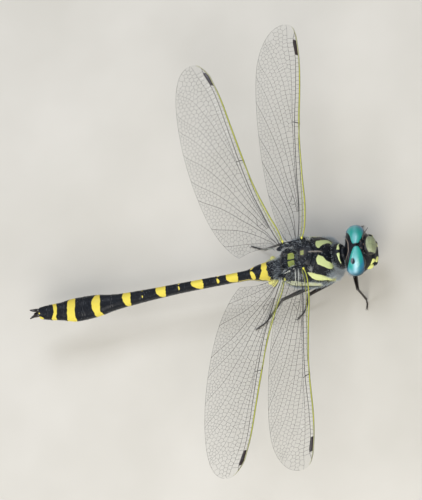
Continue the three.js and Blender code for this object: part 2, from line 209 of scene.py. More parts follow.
def bristles(roots, tips, width, bend):
    # thin, bent, pointed three-sided spikes as closed solids
    along = tips - roots
    length = np.linalg.norm(along, axis=1, keepdims=True)
    ring = ringsAround(along / length, 3) * width[:, None, None] / 2
    middle = (roots + tips) / 2 + bend * length * (0, 0, 1)
    points = np.concatenate([roots[:, None] + ring, middle[:, None] + 0.75 * ring, tips[:, None]], 1)
    base = np.arange(len(roots))[:, None] * 7
    quads = np.concatenate([base + [k, (k + 1) % 3, 3 + (k + 1) % 3, 3 + k] for k in range(3)])
    ends = np.concatenate([base + [3 + k, 3 + (k + 1) % 3, 6] for k in range(3)] + [base + [0, 2, 1]])
    return points.reshape(-1, 3), [quads, ends]


def twoSided(upper, lower):
    # a thin closed sheet between two grids of points
    return closedLoft(np.concatenate([upper, lower[:, ::-1]], 1))


def lineAway(points, line):
    # distance of each (a, b) point to an open line
    line = np.asarray(line, float)
    nearest = np.full(len(points), 1e9)
    for a, b in zip(line, line[1:]):
        edge = b - a
        t = np.clip(((points - a) @ edge) / (edge @ edge), 0, 1)
        nearest = np.minimum(nearest, np.linalg.norm(points - a - t[:, None] * edge, axis=1))
    return nearest


def insideBy(points, outline):
    # distance of each (a, b) point to a closed outline, positive inside it
    outline = np.asarray([*outline, outline[0]], float)
    inside = np.zeros(len(points), bool)
    for a, b in zip(outline, outline[1:]):
        if a[1] != b[1]:
            crosses = (points[:, 1] < a[1]) != (points[:, 1] < b[1])
            reach = a[0] + (points[:, 1] - a[1]) / (b[1] - a[1]) * (b[0] - a[0])
            inside ^= crosses & (points[:, 0] < reach)
    nearest = lineAway(points, outline)
    return np.where(inside, nearest, -nearest)


def roundedPatch(a, b, halfA, halfB, corner=0.25):
    # positive inside a patch with rounded corners that is 2 halfA by 2 halfB
    outA = np.maximum(np.abs(a) - halfA + corner, 0)
    outB = np.maximum(np.abs(b) - halfB + corner, 0)
    return corner - np.hypot(outA, outB)


# material helpers
def linear(hexColour):
    parts = [int(hexColour[i : i + 2], 16) / 255 for i in (1, 3, 5)]
    return [c / 12.92 if c <= 0.04045 else ((c + 0.055) / 1.055) ** 2.4 for c in parts] + [1.0]


def addNode(tree, kind, settings=None, links=None):
    node = tree.nodes.new("ShaderNode" + kind)
    for key, value in (settings or {}).items():
        if isinstance(key, str) and hasattr(node, key):
            setattr(node, key, value)
        else:
            node.inputs[key].default_value = value
    for key, source in (links or {}).items():
        tree.links.new(source, node.inputs[key])
    return node


def newSurface(name, settings):
    # a material with one shader; settings are its plain values
    material = bpy.data.materials.new(name)
    material.use_nodes = True
    tree = material.node_tree
    tree.nodes.clear()
    shader = addNode(tree, "BsdfPrincipled", settings)
    addNode(tree, "OutputMaterial", links={"Surface": shader.outputs[0]})
    return material, tree, shader


def mottled(tree, size, low, high, detail=3.0):
    # a soft random value with blotches of that size in mm, spread from low to high
    place = addNode(tree, "TexCoord").outputs["Object"]
    noise = addNode(tree, "TexNoise", {"Scale": 1 / (size * mm), "Detail": detail}, {"Vector": place})
    return addNode(tree, "MapRange", {3: low, 4: high, 1: 0.3, 2: 0.7}, {0: noise.outputs[0]}).outputs[0]


def edgeMask(tree, key, edge=0.035, ragged=0.03):
    # 1 where the mesh value is above 0 and 0 below, with a slightly ragged edge; sizes in mm
    amount = addNode(tree, "Attribute", {"attribute_name": key}).outputs["Fac"]
    wobble = mottled(tree, 0.35, -ragged, ragged)
    total = addNode(tree, "Math", {"operation": "ADD"}, {0: amount, 1: wobble}).outputs[0]
    return addNode(tree, "MapRange", {1: -edge, 2: edge}, {0: total}).outputs[0]


def blendColours(tree, start, steps):
    # lays colours one over the other; a step is (factor, colour), where the factor is a socket or
    # the name of a value kept on the mesh, and a colour is a hex value or a socket
    colour = start
    for factor, over in steps:
        if isinstance(factor, str):
            factor = addNode(tree, "Attribute", {"attribute_name": factor}).outputs["Fac"]
        node = addNode(tree, "Mix", {"data_type": "RGBA"}, {0: factor})
        for socket, value in ((6, colour), (7, over)):
            if isinstance(value, str):
                node.inputs[socket].default_value = linear(value)
            else:
                tree.links.new(value, node.inputs[socket])
        colour = node.outputs[2]
    return colour


def colourShader(tree, shader, start, steps):
    tree.links.new(blendColours(tree, start, steps), shader.inputs["Base Color"])


def fineRelief(tree, shader, layers, strength=0.6):
    # layers are (size in mm, depth in mm) of soft bumps, one on top of the other
    height = None
    for size, depth in layers:
        bump = mottled(tree, size, 0.0, depth * mm, 2.0)
        height = bump if height is None else addNode(tree, "Math", {}, {0: height, 1: bump}).outputs[0]
    node = addNode(tree, "Bump", {"Strength": strength, "Distance": 1.0}, {"Height": height})
    tree.links.new(node.outputs[0], shader.inputs["Normal"])


chitinLook = {
    "black": "#080b12",
    "blackSoft": "#10141b",
    "pruina": "#6d7480",  # the grey bloom in the furrows
    # a dull olive yellow: the scutellum's own tone, and painted shade on the marks in the sunk back between
    # the hindwings
    "olive": "#7a8622",
    # a pale yellow; on the ear lobes of the abdomen it is painted light
    "bright": "#e8efaa",
    "satin": {
        "roughness": 0.32, "bloom": 0.1, "pale": "#5d666c",
        "yellow": ("#d9c84c", "#dbcf66", "#dab344"),
    },
    "downy": {
        "roughness": 0.38, "bloom": 0.12, "pale": "#a39a92",
        "yellow": ("#c8d594", "#bccb96", "#c4c9ae"),
    },
    "head": {
        "roughness": 0.34, "bloom": 0.06, "pale": "#b8a595",
        "yellow": ("#d6dc84", "#c6c680", "#c2bf70"),
    },
}


def chitin(name, look):
    # hardened cuticle: a satin black that breaks the light into small soft glints, with clear
    # yellow fields whose pigment lies under the same skin
    roughness = look["roughness"]
    clear, soft, deep = look["yellow"]
    material, tree, shader = newSurface(
        name,
        {
            "Roughness": roughness, "IOR": 1.56, "Specular IOR Level": 0.19,
            "Coat Weight": 0.03, "Coat Roughness": 0.2,
        },
    )
    blackSteps = [
        (mottled(tree, 0.9, 0.0, 0.8), chitinLook["blackSoft"]),
        (mottled(tree, 0.35, 0.0, look["bloom"] * 0.35), chitinLook["pruina"]),
    ]
    yellowSteps = [
        (mottled(tree, 0.6, 0.0, 0.4), soft),
        ("deep", deep),
        ("olive", chitinLook["olive"]),
        ("bright", chitinLook["bright"]),
    ]
    black = blendColours(tree, chitinLook["black"], blackSteps)
    yellow = blendColours(tree, clear, yellowSteps)
    colourShader(tree, shader, black, [(edgeMask(tree, "yellow"), yellow), ("pale", look["pale"])])
    tree.links.new(mottled(tree, 0.25, roughness - 0.06, roughness + 0.14), shader.inputs["Roughness"])
    fineRelief(tree, shader, [(0.5, 0.012), (0.12, 0.008), (0.05, 0.004)])
    return material


abdomenChitin = chitin("ChitinBlackYellowSatin", chitinLook["satin"])
thoraxChitin = chitin("ChitinBlackYellowDowny", chitinLook["downy"])
headChitin = chitin("ChitinHeadBlack", chitinLook["head"])

legLook = {"roughness": 0.3, "gloss": 0.2, "black": "#100e0d", "brown": "#2c1c15"}


def legChitin(look):
    # thin, hard, brown-black cuticle: glossier than the body, warm where light comes through
    material, tree, shader = newSurface(
        "ChitinLegBrownBlack",
        {"Roughness": look["roughness"], "IOR": 1.56, "Coat Weight": look["gloss"], "Coat Roughness": 0.15},
    )
    colourShader(tree, shader, look["black"], [(mottled(tree, 0.7, 0.0, 0.6), look["brown"])])
    fineRelief(tree, shader, [(0.2, 0.006), (0.06, 0.003)])
    return material


legSurface = legChitin(legLook)

corneaLook = {
    "roughness": 0.32,
    "gloss": 0.4,
    "turquoise": "#11968b",
    "green": "#2fa9a0",
    "low": "#136a90",  # the blue of the lower eye
    # the colour of the painted highlights on the eyes
    "paintedSheen": "#a6d2e4",
    "spot": "#0b1e2b",
    # the dark outline of the eye, also used for the painted shade along its lower edge
    "rim": "#081019",
    "facet": 0.09,  # 0.04 mm across in life, drawn coarser so that the facets can show
}


def eyeCornea(look):
    # a clear, hard lens skin over deep pigment: turquoise on top, blue towards the cheek and rim, with
    # painted highlights and painted shade in its colour
    settings = {"Roughness": look["roughness"], "IOR": 1.5, "Specular IOR Level": 0.3}
    settings |= {"Coat Weight": look["gloss"], "Coat Roughness": 0.14}
    material, tree, shader = newSurface("CorneaTurquoise", settings)
    steps = [(mottled(tree, 0.5, 0.0, 0.25), look["green"])]
    steps += [(key, look[key]) for key in ("low", "paintedSheen", "spot", "rim")]
    colourShader(tree, shader, look["turquoise"], steps)
    place = addNode(tree, "TexCoord").outputs["Object"]
    facets = addNode(tree, "TexVoronoi", {"Scale": 1 / (look["facet"] * mm)}, {"Vector": place}).outputs[0]
    hollows = {"Strength": 0.12, "Distance": 0.01 * mm, "invert": True}
    relief = addNode(tree, "Bump", hollows, {"Height": facets})
    tree.links.new(relief.outputs[0], shader.inputs["Normal"])
    return material


corneaSurface = eyeCornea(corneaLook)

hairLook = {"fleck": "#bcc6ca", "overYellow": "#cfcf78"}


def hairSurface(name, root, tip):
    # fine insect hair: matt, darker at the root and pale at the tip, so it greys what lies under it
    material, tree, shader = newSurface(name, {"Roughness": 0.6, "IOR": 1.54, "Sheen Weight": 0.3})
    fleck = mottled(tree, 0.8, 0.0, 0.35)
    steps = [("along", tip), (fleck, hairLook["fleck"]), ("stripe", hairLook["overYellow"])]
    colourShader(tree, shader, root, steps)
    return material


paleHair = hairSurface("HairPaleGrey", "#5f686f", "#b7c5cf")
whiteHair = hairSurface("HairWhitish", "#a7abaa", "#e2e5e4")

filmLook = {"smoky": "#6f7476", "tawny": "#8c8f86", "alpha": 0.05}


def wingMembrane(look):
    # a film of clear cuticle a hundredth of a millimetre thick: almost nothing shows but its gloss
    settings = {"Roughness": 0.14, "IOR": 1.56, "Specular IOR Level": 0.7, "Alpha": look["alpha"]}
    settings |= {"Coat Weight": 0.3, "Coat Roughness": 0.08}
    material, tree, shader = newSurface("WingFilmClear", settings)
    colourShader(tree, shader, look["smoky"], [(mottled(tree, 3.0, 0.0, 0.6), look["tawny"])])
    fineRelief(tree, shader, [(1.6, 0.01)], 0.25)
    return material


filmSurface = wingMembrane(filmLook)


def veinSurface(name, colour, over, roughness=0.35, faded=None):
    # cuticle without a gloss coat, in two mottled tones; it may fade towards the wing tip
    material, tree, shader = newSurface(name, {"Roughness": roughness, "IOR": 1.56})
    steps = [(mottled(tree, 0.6, 0.0, 0.8), over)]
    if faded:
        steps.append(("pale", faded))
    colourShader(tree, shader, colour, steps)
    fineRelief(tree, shader, [(0.15, 0.004)])
    return material


veinDark = veinSurface("VeinChitinDark", "#1a1613", "#2b241d")  # hard, round, hollow ribs
veinYellow = veinSurface("VeinChitinYellow", "#c2c53c", "#9aa436", 0.4, "#b5b48e")
membranule = veinSurface("MembranulePaleGrey", "#6f7574", "#8b908e", 0.6)  # soft pale web at the wing root
foldWhite = veinSurface("FoldWhitish", "#b9bcb2", "#dfe1da", 0.6)  # soft, dry skin of the wing joint
knobSurface = veinSurface("ChitinKnobYellow", "#e3df3f", "#d8d867", 0.35)
stigmaDark = veinSurface("StigmaChitinBrown", "#1c1414", "#33211f", 0.3)
print("materials ready")

# camera, floor and light
# The insect is seen from above its right front quarter with a long lens.
cameraPlan = {
    "right": (0.915509, -0.053910, -0.398669),
    "up": (0.186262, 0.935168, 0.301277),
    "back": (0.356581, -0.350079, 0.866196),
    "aim": (-33.67, -0.30),  # where the middle of the view lies along right and up, mm
    "distance": 2600,
    "tall": 99.6,  # height of the view at the insect, mm
}


def placeCamera(plan):
    right, up, back = (np.array(plan[key]) for key in ("right", "up", "back"))
    aim = right * plan["aim"][0] + up * plan["aim"][1] + bodyOrigin
    lens = bpy.data.cameras.new("camera")
    lens.sensor_width = 36
    lens.lens = lens.sensor_width * plan["distance"] / plan["tall"]
    lens.clip_end = 20
    camera = bpy.data.objects.new("camera", lens)
    turn = Matrix([right, up, back]).transposed().to_4x4()
    camera.matrix_world = Matrix.Translation(Vector((aim + back * plan["distance"]) * mm)) @ turn
    bpy.context.scene.collection.objects.link(camera)
    bpy.context.scene.camera = camera


placeCamera(cameraPlan)

studioLook = {
    "floor": "#cfccc4",
    "floorFleck": "#c4c1b8",
    "floorSize": 3.0,  # m
    "sky": "#e9edf2",
    "skyLight": 0.30,
}


def layFloor(look):
    # matt board: pale, even, with a slight fleck
    mesh = bpy.data.meshes.new("floor")
    half = look["floorSize"] / 2
    corners = [(-half, -half, 0), (half, -half, 0), (half, half, 0), (-half, half, 0)]
    mesh.from_pydata(corners, [], [(0, 1, 2, 3)])
    floor = bpy.data.objects.new("floor", mesh)
    bpy.context.scene.collection.objects.link(floor)
    material, tree, shader = newSurface("BoardPaleMatt", {"Roughness": 0.85})
    colourShader(tree, shader, look["floor"], [(mottled(tree, 30, 0.0, 1.0), look["floorFleck"])])
    mesh.materials.append(material)


def lightSky(look):
    world = bpy.data.worlds.new("studio")
    world.use_nodes = True
    background = world.node_tree.nodes["Background"]
    background.inputs[0].default_value = linear(look["sky"])
    background.inputs[1].default_value = look["skyLight"]
    bpy.context.scene.world = world
    # this view keeps the pigments as strong as they are set
    bpy.context.scene.view_settings.view_transform = "Standard"


layFloor(studioLook)
lightSky(studioLook)

lampPlan = [
    # place in m, size in m, watts, colour
    ("keyLamp", (0.15, -0.48, 0.44), 0.46, 4.6, "#fffaf2"),
    ("fillLamp", (0.02, 0.42, 0.62), 0.34, 1.9, "#eef3ff"),
    ("rimLamp", (-0.50, -0.05, 0.40), 0.30, 1.6, "#f4f7ff"),
]
lampTarget = (0.01, 0, 0.01)
for name, place, size, power, tint in lampPlan:
    lamp = bpy.data.lights.new(name, "AREA")
    lamp.size = size
    lamp.energy = power
    lamp.color = linear(tint)[:3]
    stand = bpy.data.objects.new(name, lamp)
    stand.location = place
    stand.rotation_mode = "QUATERNION"
    stand.rotation_quaternion = (Vector(lampTarget) - Vector(place)).to_track_quat("-Z", "Y")
    bpy.context.scene.collection.objects.link(stand)
print("camera, floor and light ready")


# lofted skins
def stationTable(stations):
    # x, half width, top, widest level, bottom and, where it isn't the usual oval, squareness
    return np.array([list(s) + [2.2][len(s) - 5 :] for s in stations], float)


def roundedSides(girth, power):
    # the two directions of a superellipse at each angle round it
    def swell(part):
        return np.sign(part) * np.abs(part) ** power

    return swell(np.sin(girth)), swell(np.cos(girth))


def skinGrid(stations, at, columns, inset=0.0, noseRound=0.0, tailRound=0.0):
    # rings of points across x = at; column 0 is the dorsal midline, then round by the left
    table = stationTable(stations)[::-1]
    half, top, mid, bottom, square = (curveThrough(at, table[:, 0], table[:, k]) for k in range(1, 6))
    across, upward = roundedSides(ringAngles(columns), 2 / square[:, None])
    shrink = np.ones(len(at))
    for reach, depth in ((noseRound, at[0] - at), (tailRound, at - at[-1])):
        if reach:
            shrink *= np.sqrt(np.clip(1 - (1 - np.clip(depth / reach, 0.004, 1)) ** 2, 0, 1))
    tall = np.where(upward > 0, (top - mid)[:, None], (mid - bottom)[:, None]) - inset
    y = (half - inset)[:, None] * across * shrink[:, None]
    z = mid[:, None] + tall * upward * shrink[:, None]
    return np.stack([np.repeat(at[:, None], columns, 1), y, z], -1)


def gridNormals(rings):
    along = np.gradient(rings, axis=0)
    around = np.roll(rings, -1, 1) - np.roll(rings, 1, 1)
    normals = np.cross(around, along)
    normals /= np.linalg.norm(normals, axis=-1, keepdims=True) + 1e-12
    outward = rings - rings.mean(1, keepdims=True)
    return normals * np.sign(np.sum(normals * outward, -1).mean())


def easedSteps(first, last, rows, ends=0.5):
    # places from first to last, closer together near both ends
    s = np.linspace(0, 1, rows)
    s = (1 - ends) * s + ends * (1 - np.cos(math.pi * s)) / 2
    return first + (last - first) * s


def capped(field):
    # a field over a grid of rings, with a value for each of the two cap points
    return np.concatenate([field.ravel(), [field[0].mean()], [field[-1].mean()]])


def roughness3d(points, size, seed):
    # smooth random heights between -1 and 1 with humps of about that size
    waves = np.random.default_rng(seed)
    total = np.zeros(points.shape[:-1])
    for _ in range(9):
        direction = waves.normal(size=3)
        direction *= 2 * math.pi / size / np.linalg.norm(direction) * waves.uniform(0.6, 1.5)
        total += np.sin(points @ direction + waves.uniform(0, 6.28))
    return total / 4.5


# eyes
def headTurn(points):
    # the head is held a little round to the right: its left side is farther forward
    points = points.copy()
    points[..., 0] += 0.28 * smoothStep(0.3, 2.6, points[..., 1]) * smoothStep(-0.2, -2.4, points[..., 0])
    return points


eyePlan = {
    "halfSpan": 5.3,
    "rise": 3.2,
    "level": 1.5,
    "seamX": -3.35,
    "cheekX": -4.7,
    "halfLength": 2.0,
    "halfDepth": 1.7,
    "topAngle": 89,
    "bottomAngle": -52,
    "rows": 90,
    "columns": 110,
    "spot": (-4.42, -3.07, 4.01),  # the dark false pupil on the right eye
    "spotSize": (0.5, 0.6, 0.65),
    # painted highlights: pale streaks of reflected light painted on the eyes; strength, place to the front,
    # width, the heights between which they fade in from below, and those between which they fade out
    "glints": [(0.85, 0.1, 0.26, (1.9, 2.8), (3.7, 4.6)), (0.45, -0.5, 0.3, (1.2, 2.0), (2.6, 3.5))],
    "leftPaintedGlint": 0.3,  # how much of the painted highlights the left eye has
}


def eyeRings(sign, plan):
    t = easedSteps(0, 1, plan["rows"], 0.9)
    turn = np.radians(plan["topAngle"] + (plan["bottomAngle"] - plan["topAngle"]) * t)
    swell = np.maximum(np.sin(math.pi * t**0.9), 0.002) ** 0.55
    outward = np.stack([np.cos(turn) / plan["halfSpan"], np.sin(turn) / plan["rise"]], -1)
    outward /= np.linalg.norm(outward, axis=1, keepdims=True)
    sink = plan["halfDepth"] * swell
    y = plan["halfSpan"] * np.cos(turn) - sink * outward[:, 0]
    z = plan["level"] + plan["rise"] * np.sin(turn) - sink * outward[:, 1]
    x = plan["seamX"] + (plan["cheekX"] - plan["seamX"]) * np.minimum(t / 0.5, 1)
    angle = ringAngles(plan["columns"])
    deep = np.outer(sink, np.cos(angle))
    x = x[:, None] + np.outer(plan["halfLength"] * swell, np.sin(angle))
    y = sign * (y[:, None] + deep * outward[:, :1])
    z = z[:, None] + deep * outward[:, 1:]
    return np.stack([x, y, z], -1), t, angle


def eyeColours(side, rings, t, angle, plan):
    # where the eye is blue or dark, and where its painted highlights and painted shade lie
    height = rings[..., 2]
    depth, forward = (np.repeat(part(angle)[None], plan["rows"], 0) for part in (np.cos, np.sin))
    along = np.repeat(t[:, None], plan["columns"], 1)
    # painted shade: the eye darkens towards its lower edge, drawn with the dark rim colour
    shade = 0.54 * smoothStep(2.9, 1.7, height) + 0.4 * smoothStep(1.7, 0.9, height)
    edges = [
        1 - smoothStep(0.3, 0.5, depth),
        smoothStep(0.86, 0.95, along),
        1 - smoothStep(0.012, 0.03, along),
    ]
    rim = np.max([*edges, shade], axis=0)
    low = smoothStep(4.1, 2.7, height) * smoothStep(0.0, 0.75, forward)
    low = np.maximum(low, 0.85 * smoothStep(3.7, 2.3, height))
    spot = smoothStep(1.15, 0.9, np.linalg.norm((rings - plan["spot"]) / plan["spotSize"], axis=-1))
    # painted highlights: pale streaks of reflected light laid into the colour; the left eye keeps less of
    # them and gets a pale patch near the seam
    paintedSheen = 0.3 * bell(forward, 0.45) * smoothStep(3.9, 4.3, height)
    for strength, place, width, start, stop in plan["glints"]:
        reach = smoothStep(*stop[::-1], height) * smoothStep(*start, height)
        paintedSheen += strength * bell(forward - place, width) * reach
    if side == "left":
        paintedSheen = plan["leftPaintedGlint"] * paintedSheen + 0.35 * bell(forward, 0.6) * smoothStep(4.1, 4.5, height)
    return {"rim": capped(rim), "low": capped(low), "spot": capped(spot), "paintedSheen": capped(paintedSheen)}


for side, sign in sidesOfBody.items():
    rings, t, angle = eyeRings(sign, eyePlan)
    values = eyeColours(side, rings, t, angle, eyePlan)
    shape = closedLoft(headTurn(rings))
    buildPiece("eye_" + side + "_cornea", shape, corneaSurface, ("eye_" + side,), values)
print("eyes ready")

# face
fronsStations = [
    (0.15, 0.85, 3.3, 2.7, 1.9),
    (-0.05, 1.4, 3.7, 2.7, 1.35),
    (-0.6, 1.8, 4.15, 2.7, 1.0),
    (-1.3, 1.95, 4.3, 2.7, 0.9),
    (-1.9, 1.85, 4.0, 2.7, 0.95),
]
clypeusStations = [
    (-0.85, 1.4, 0.75, 0.1, -0.5),
    (-1.1, 2.1, 0.86, 0.1, -0.7),
    (-1.8, 2.85, 0.86, 0.1, -0.8),
    (-2.7, 3.15, 0.86, 0.1, -0.8),
]
labrumStations = [
    (-1.0, 1.1, -0.95, -1.4, -1.85),
    (-1.2, 1.8, -0.84, -1.4, -2.2),
    (-1.7, 2.25, -0.84, -1.4, -2.45),
    (-2.4, 2.35, -0.84, -1.4, -2.5),
]

fronsLook = {"olive": "#8a9575", "ridge": "#6f7856", "worn": "#a2a982", "foot": "#17161a"}


def faceSurface(look):
    # the frons: waxy olive-yellow cuticle, drawn out in fine cross ridges, with a dark foot
    settings = {"Roughness": 0.48, "IOR": 1.54, "Coat Weight": 0.05}
    material, tree, shader = newSurface("ChitinFaceOlive", settings)
    place = addNode(tree, "TexCoord").outputs["Object"]
    stretched = addNode(tree, "Mapping", {"Scale": (4200, 500, 4200)}, {"Vector": place}).outputs[0]
    streak = addNode(tree, "TexNoise", {"Scale": 1.0, "Detail": 3.0}, {"Vector": stretched}).outputs[0]
    ridges = addNode(tree, "MapRange", {1: 0.38, 2: 0.62, 3: 0.0, 4: 0.8}, {0: streak}).outputs[0]
    worn = mottled(tree, 1.2, 0.0, 0.35)
    olive = blendColours(tree, look["olive"], [(ridges, look["ridge"]), (worn, look["worn"])])
    colourShader(tree, shader, look["foot"], [(edgeMask(tree, "yellow"), olive)])
    bump = addNode(tree, "Bump", {"Strength": 0.5, "Distance": 0.02 * mm}, {"Height": streak})
    tree.links.new(bump.outputs[0], shader.inputs["Normal"])
    return material


oliveSurface = faceSurface(fronsLook)


def faceLoft(stations, ends, rows, noseRound, tailRound, crease):
    # a plate of the face: a loft with one crease pressed into it
    rings = skinGrid(stations, easedSteps(*ends, rows, 0.7), 120, 0.02, noseRound, tailRound)
    depth = crease(*np.moveaxis(rings, -1, 0))
    rings -= gridNormals(rings) * depth[..., None]
    return closedLoft(rings)


def buildFace():
    def fronsGroove(x, y, z):
        return bell(y, 0.16) * smoothStep(-1.6, -0.2, x) * 0.07

    shape = faceLoft(fronsStations, (noseReach - 0.02, -2.0), 70, 0.45, 0.2, fronsGroove)
    x, y, z = shape[0].T
    foot = z - 2.1 + 0.25 * bell(y, 0.6)
    back = x + 1.3 - 0.1 * y**2
    values = {"yellow": np.minimum(np.minimum(foot, back), 1.74 - np.abs(y - 0.06))}
    buildPiece("frons_skin", shape, oliveSurface, ("frons",), values)

    def clypeusWaist(x, y, z):
        return bell(z + 0.42, 0.1) * 0.06

    shape = faceLoft(clypeusStations, (-0.87, -2.75), 60, 0.35, 0.1, clypeusWaist)
    x, y, z = shape[0].T
    mark = roundedPatch(np.abs(y) - 2.7, z - 0.55, 0.6, 0.62 - 0.2 * (y > 0))
    buildPiece("clypeus_skin", shape, headChitin, ("clypeus",), {"yellow": mark})

    def labrumNotch(x, y, z):
        return bell(y, 0.22) * smoothStep(-1.6, -2.3, z) * 0.12

    shape = faceLoft(labrumStations, (-1.02, -2.45), 60, 0.35, 0.1, labrumNotch)
    x, y, z = shape[0].T
    mark = roundedPatch(np.abs(y) - 1.85, z + 1.5, 0.8, 0.52, 0.3)
    buildPiece("labrum_skin", shape, headChitin, ("labrum",), {"yellow": mark})


buildFace()

capsuleStations = [
    (-1.2, 1.5, 2.9, 0.4, -2.1),
    (-1.8, 2.6, 3.65, 0.5, -2.6),
    (-2.6, 3.4, 4.1, 0.7, -2.8),
    (-3.4, 4.0, 4.3, 0.9, -2.8),
    (-4.5, 4.7, 4.35, 0.9, -2.6),
    (-5.7, 4.8, 4.0, 0.8, -2.3),
    (-6.5, 4.3, 3.2, 0.6, -1.9),
    (-7.0, 3.0, 2.0, 0.4, -1.3),
]
headPlan = {
    "inset": 0.05,
    # lumps that stand out of the capsule: centre, half sizes, columns and rows
    "vertex": ((-2.45, 0, 3.83), (0.65, 1.08, 0.55), (48, 30)),
    "lips": [
        ((-2.3, 1.9, -1.75), (0.95, 0.75, 0.85), (32, 20)),
        ((-2.3, -1.9, -1.75), (0.95, 0.75, 0.85), (32, 20)),
        ((-3.2, 0, -2.35), (1.5, 2.0, 0.42), (40, 20)),
    ],
    "mandibles": [
        ((-2.75, 3.0, -0.55), (0.95, 0.66, 0.6), (40, 26)),
        ((-2.75, -3.0, -0.55), (0.95, 0.66, 0.6), (40, 26)),
    ],
    "ocelli": [((-1.95, 0.0, 4.02), 0.2), ((-2.5, 0.72, 4.2), 0.17), ((-2.5, -0.72, 4.2), 0.17)],
    "antenna": ((-2.2, 1.2, 3.5), (-1.75, 1.95, 4.1), (-0.5, 3.1, 4.6)),  # root, elbow and tip
    "antennaRadii": ([0, 0.35, 0.45, 0.8, 0.95, 1.1, 2], [0.26, 0.25, 0.17, 0.19, 0.16, 0.09, 0.05]),
}


def nape(y, z):
    # how far back the head reaches: it is hollow behind the seam of the eyes
    return -5.2 - 1.6 * smoothStep(0.5, 3.4, np.abs(y)) - 2.2 * smoothStep(2.9, 0.9, z)


def buildHead(plan):
    at = easedSteps(-1.15, -7.02, 90, 0.6)
    rings = skinGrid(capsuleStations, at, 180, plan["inset"], 0.5, 0.35)
    rings += gridNormals(rings) * (0.015 * roughness3d(rings, 0.7, 5))[..., None]
    reach = nape(rings[..., 1], rings[..., 2])
    rim = bell(rings[..., 0] - reach, 0.13) * smoothStep(1.0, 2.0, rings[..., 2]) * (rings[..., 0] > -6.6)
    rings[..., 0] = np.maximum(rings[..., 0], reach)
    skin = closedLoft(rings)
    lumps = [blob(*lump) for lump in (plan["vertex"], *plan["lips"], *plan["mandibles"])]
    points, faceSets = joined([skin, *lumps])
    _, y, z = points.T
    ofCapsule = np.arange(len(points)) < len(skin[0])
    pale = np.zeros(len(points))
    pale[ofCapsule] = 0.8 * capped(rim)
    blackOnLeft = 3 * np.clip(z + 0.5, 0, None) * (y > 0)  # the upper half of the left mandible
    values = {"yellow": np.where(ofCapsule, -1.0, np.abs(y) - 2.85 - blackOnLeft), "pale": pale}
    buildPiece("head_skin", (headTurn(points), faceSets), headChitin, ("head",), values)
    return rings


lensLook = {"cup": "#2b1a15", "amber": "#6e4a38"}


def buildOcelli(plan, look):
    # three tiny wet-looking lenses on the vertex, each clear over a brown cup
    settings = {"Roughness": 0.08, "IOR": 1.5, "Coat Weight": 0.8, "Coat Roughness": 0.03}
    material, tree, shader = newSurface("OcellusLens", settings)
    colourShader(tree, shader, look["cup"], [(mottled(tree, 0.2, 0.0, 0.6), look["amber"])])
    lenses = [blob(centre, (r, r, r * 0.9), (24, 16)) for centre, r in plan["ocelli"]]
    buildPiece("ocelli", joined(lenses), material)


def buildAntennae(plan):
    for side, sign in sidesOfBody.items():
        s, path = pathThrough(np.array(plan["antenna"]) * (1, sign, 1), 30)
        shape = tube(path, np.interp(s, *plan["antennaRadii"]), 12)
        buildPiece("antenna_" + side + "_skin", shape, legSurface, ("antenna_" + side,))


headRings = buildHead(headPlan)
buildOcelli(headPlan, lensLook)
buildAntennae(headPlan)
print("head ready")

# thorax
trunkStations = [
    (-6.3, 1.2, 1.7, 0.2, -1.1),
    (-7.2, 1.8, 2.7, 0.2, -2.0),
    (-7.9, 2.35, 3.15, 0.1, -2.6),
    (-8.8, 2.6, 3.2, 0.0, -3.0),
    (-9.25, 2.55, 3.05, 0.0, -3.1),
    (-9.5, 2.8, 3.1, 0.0, -3.5),
    (-9.9, 3.4, 3.7, -0.1, -4.2),
    (-11.1, 4.2, 5.0, -0.3, -4.8),
    (-12.6, 4.6, 5.85, -0.5, -5.0, 2.4),
    (-14.2, 4.7, 6.15, -0.5, -4.95, 2.7),
    (-15.2, 4.7, 5.95, -0.4, -4.8, 2.9),
    (-16.4, 4.65, 5.45, -0.2, -4.5, 3.0),
    (-17.6, 4.55, 4.95, 0.0, -4.0, 3.0),
    (-19.0, 4.3, 4.35, 0.1, -3.2, 2.8),
    (-20.1, 3.5, 3.5, 0.1, -2.6, 2.4),
    (-21.0, 2.4, 2.4, 0.0, -2.15),
]
